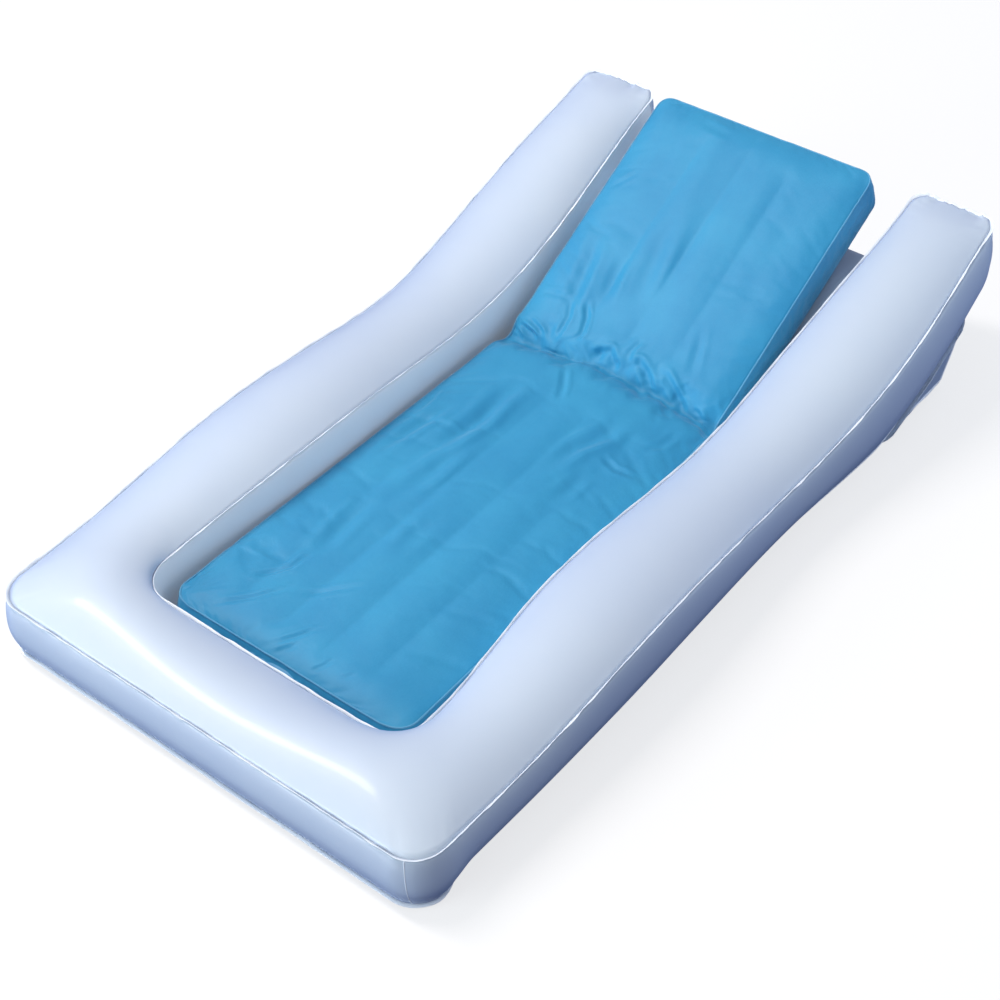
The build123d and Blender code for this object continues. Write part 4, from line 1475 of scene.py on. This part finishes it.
def build_bolster(grid):
    rows, count = grid.shape[:2]
    faces = grid_faces(rows, count, closed_columns=True)
    vertices = [grid.reshape(-1, 3)]
    base = rows * count
    dome = 0.0018
    # end panels: rings drawn in to a hub in the middle of each end
    for section, first, sign in ((grid[0], 0, -1), (grid[-1], base - count, 1)):
        center = section.mean(0)
        ring = first + np.arange(count)
        for share in (0.75, 0.5, 0.25):
            points = center + (section - center) * share
            points[:, 0] = section[0, 0] + sign * dome * (1 - share * share)
            vertices.append(points)
            inner = base + np.arange(count)
            base += count
            for i in range(count):
                j = (i + 1) % count
                if sign < 0:
                    faces.append((ring[i], ring[j], inner[j], inner[i]))
                else:
                    faces.append((ring[i], inner[i], inner[j], ring[j]))
            ring = inner
        vertices.append(np.array([[section[0, 0] + sign * dome, center[1], center[2]]]))
        for i in range(count):
            j = (i + 1) % count
            faces.append((ring[i], ring[j], base) if sign < 0 else (ring[j], ring[i], base))
        base += 1
    bolster = smooth_solid("bolster_air_chamber", np.concatenate(vertices), faces)
    origin, axis = valve_plane("bolster")
    flattened = flatten_at_valve(
        get_coords(bolster), origin, axis, blend=0.020, reach=0.030, sink=0.0002,
        facing=(get_normals(bolster) @ axis) > 0.3,
    )
    set_coords(bolster, flattened)
    cut_well(bolster, "bolster")
    return bolster


def build_bolster_welds(grid):
    """Wavy flange round each end."""
    welds = []
    wave = line_noise(SECTION_RUN, 0.05, 83, closed=SECTION_RUN_LENGTH)
    for section, sign in ((grid[0], -1), (grid[-1], 1)):
        offset = (section - section.mean(0)) * [0, 1, 1]
        direction = unit(offset + np.array([sign * 0.012, 0, 0]))
        # level where it lies on the ground
        direction[:, 2] = np.where(section[:, 2] < 0.02, 0.0, direction[:, 2])
        direction = unit(direction + np.array([0.25, 0, 0]) * wave[:, None])
        side = np.cross(ring_tangents(section), direction)
        path = section.copy()
        path[:, 2] = np.maximum(path[:, 2], 0.0022)
        welds.append(ribbon("bolster_weld", path, direction, side, 0.0045, 0.0011, closed=True))
    return join("bolster_end_welds", welds)


BOLSTER_GRID = bolster_grid()
bolster = build_bolster(BOLSTER_GRID)
bolster_welds = build_bolster_welds(BOLSTER_GRID)
fit_piece(bolster, BOLSTER_FILM_PAINTED_SHADE, "float")
fit_piece(bolster_welds, WELD_FILM, "float")
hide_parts("bolster_shell")


# ---- CAD pieces ------------------------------------------------------------------------
def cad_material(name):
    by_name = {
        "floor_sheet": FLOOR_FILM,
        "zip_slider": ZIP_ENAMEL,
        "zip_pull": ZIP_ENAMEL,
        "zip_tape": ZIP_TAPE,
        "floor_hook_tapes": HOOK_TAPE,
        "cover_loop_tapes": HOOK_TAPE,
        "seat_cover": COVER_FABRIC,
        "back_cover": COVER_FABRIC,
    }
    film_parts = ("hull_", "arm_", "bolster_shell", "bolster_tie")
    if name in by_name:
        return by_name[name]
    if name.startswith(film_parts) and "valve" not in name:
        return FRAME_FILM
    if name.endswith("_valve_cap"):
        return CAP_PLASTIC
    if "_valve_" in name:
        return VALVE_PLASTIC
    return BLADDER_FILM


for name, piece in NODES.items():
    paint(piece, cad_material(name))


# ---- floor and world -------------------------------------------------------------------
def floor_material():
    """Near white to the camera, dark to other rays, and clear from below."""
    material, tree, shader = new_material("studio_floor")
    set_inputs(
        shader, Base_Color=(0.93, 0.935, 0.94, 1), Roughness=0.9, Specular_IOR_Level=0.1
    )
    camera_ray = tree.nodes.new("ShaderNodeLightPath").outputs["Is Camera Ray"]
    dark = add_node(tree, "ShaderNodeBsdfDiffuse", Color=(0.055, 0.07, 0.15, 1))
    glow = add_node(tree, "ShaderNodeEmission", Color=(1.0, 1.0, 1.0, 1), Strength=1.0)
    seen = mix_shaders(tree, 0.30, glow.outputs["Emission"], shader.outputs["BSDF"])
    above = mix_shaders(tree, camera_ray, dark.outputs["BSDF"], seen)
    from_below = tree.nodes.new("ShaderNodeNewGeometry").outputs["Backfacing"]
    clear = tree.nodes.new("ShaderNodeBsdfTransparent").outputs["BSDF"]
    surface = mix_shaders(tree, from_below, above, clear)
    tree.links.new(surface, tree.nodes["Material Output"].inputs["Surface"])
    return material


def build_floor(half=14, z=-0.0008):
    corners = [(-half, -half, z), (half, -half, z), (half, half, z), (-half, half, z)]
    floor = flat_mesh("studio_floor", corners, [(0, 1, 2, 3)])
    paint(floor, floor_material())


def build_world():
    """Blue-to-white sky for lighting, plain white to the camera."""
    world = bpy.data.worlds.new("studio_world")
    bpy.context.scene.world = world
    world.use_nodes = True
    tree = world.node_tree
    sky = tree.nodes["Background"]
    direction = tree.nodes.new("ShaderNodeTexCoord").outputs["Generated"]
    axes = add_node(tree, "ShaderNodeSeparateXYZ", {"Vector": direction})
    height = map_range(tree, axes.outputs["Z"], From_Min=-0.1, From_Max=0.9)
    color = two_tone(tree, height, 0.0, (0.34, 0.42, 0.70), 1.0, (0.90, 0.94, 1.0))
    tree.links.new(color, sky.inputs["Color"])
    set_inputs(sky, Strength=0.60)
    white = add_node(tree, "ShaderNodeBackground", Color=(1, 1, 1, 1), Strength=1.0)
    camera_ray = tree.nodes.new("ShaderNodeLightPath").outputs["Is Camera Ray"]
    surface = mix_shaders(
        tree, camera_ray, sky.outputs["Background"], white.outputs["Background"]
    )
    tree.links.new(surface, tree.nodes["World Output"].inputs["Surface"])


build_floor()
build_world()


# ---- lights ----------------------------------------------------------------------------
def area_light(name, direction, distance, size, energy, color, target=(0, 0, 0.1), along=None):
    """Area light that far from target in a direction; its first side may lie along a vector."""
    away = unit(np.array(direction, float))
    light = bpy.data.lights.new(name, "AREA")
    light.shape = "RECTANGLE"
    light.size, light.size_y = size
    light.energy = energy
    light.color = color
    lamp = add_object(name, light)
    lamp.location = Vector(target) + Vector(away) * distance
    lamp.rotation_mode = "QUATERNION"
    if along is None:
        lamp.rotation_quaternion = Vector(-away).to_track_quat("-Z", "Y")
    else:
        side = unit(np.array(along, float) - away * float(np.dot(along, away)))
        pose = Matrix((side, np.cross(away, side), away)).transposed()
        lamp.rotation_quaternion = pose.to_quaternion()
    return lamp


area_light(
    "key_light", direction=(-0.50, -0.165, 0.88), distance=6.0, size=(3.0, 0.7),
    energy=264.0, color=(1.0, 0.930, 0.885), along=(1, 0, 0),
)
area_light(
    "fill_light", direction=(-0.45, -1.0, 0.26), distance=6.5, size=(4.0, 2.2),
    energy=262.0, color=(0.92, 1.02, 1.05),
)
area_light(
    "side_light", direction=(1.0, 0.45, 0.36), distance=2.6, size=(1.8, 1.2),
    energy=20.0, color=(0.74, 0.90, 1.12), target=(0.45, 1.0, 0.22),
)
area_light(
    "back_light", direction=(0.15, 1.0, 0.06), distance=6.0, size=(3.0, 1.0),
    energy=55.0, color=(0.90, 0.95, 1.0),
)
under_light = area_light(
    "under_light", direction=(0.15, -0.35, -1.0), distance=5.0, size=(4.0, 4.0),
    energy=60.0, color=(0.85, 0.93, 1.0),
)
# it shines through the floor, and only on the pieces that face it
under_light.data.use_shadow = False
UNDERSIDE = ("frame_bottom_sheet", "frame_bottom_weld", "floor_sheet", "bolster_air_chamber")
lit_from_below = bpy.data.collections.new("underside")
for piece in bpy.data.objects:
    if piece.type == "MESH" and piece.name in UNDERSIDE:
        lit_from_below.objects.link(piece)
under_light.light_linking.receiver_collection = lit_from_below


# ---- camera ----------------------------------------------------------------------------
def build_camera():
    """Camera above the foot's +x corner, looking back and down at the lounger."""
    azimuth, elevation, roll = (math.radians(angle) for angle in (39.396, 42.989, -1.63))
    target, distance = Vector((0.055, -0.147, 0.1)), 3.810
    data = bpy.data.cameras.new("camera")
    camera = add_object("camera", data)
    bpy.context.scene.camera = camera
    data.sensor_width = 36.0
    data.lens = 69.0
    data.clip_start = 0.05
    data.clip_end = 60.0
    back = Vector(
        (
            math.sin(azimuth) * math.cos(elevation),
            -math.cos(azimuth) * math.cos(elevation),
            math.sin(elevation),
        )
    )
    right = (-back).cross(Vector((0, 0, 1))).normalized()
    above = right.cross(-back)
    x_axis = right * math.cos(roll) + above * math.sin(roll)
    y_axis = -right * math.sin(roll) + above * math.cos(roll)
    pose = Matrix((x_axis, y_axis, back)).transposed().to_4x4()
    pose.translation = target + back * distance
    camera.matrix_world = pose


build_camera()
view = bpy.context.scene.view_settings
view.view_transform = "Standard"
view.look = "None"
view.exposure = 0.0
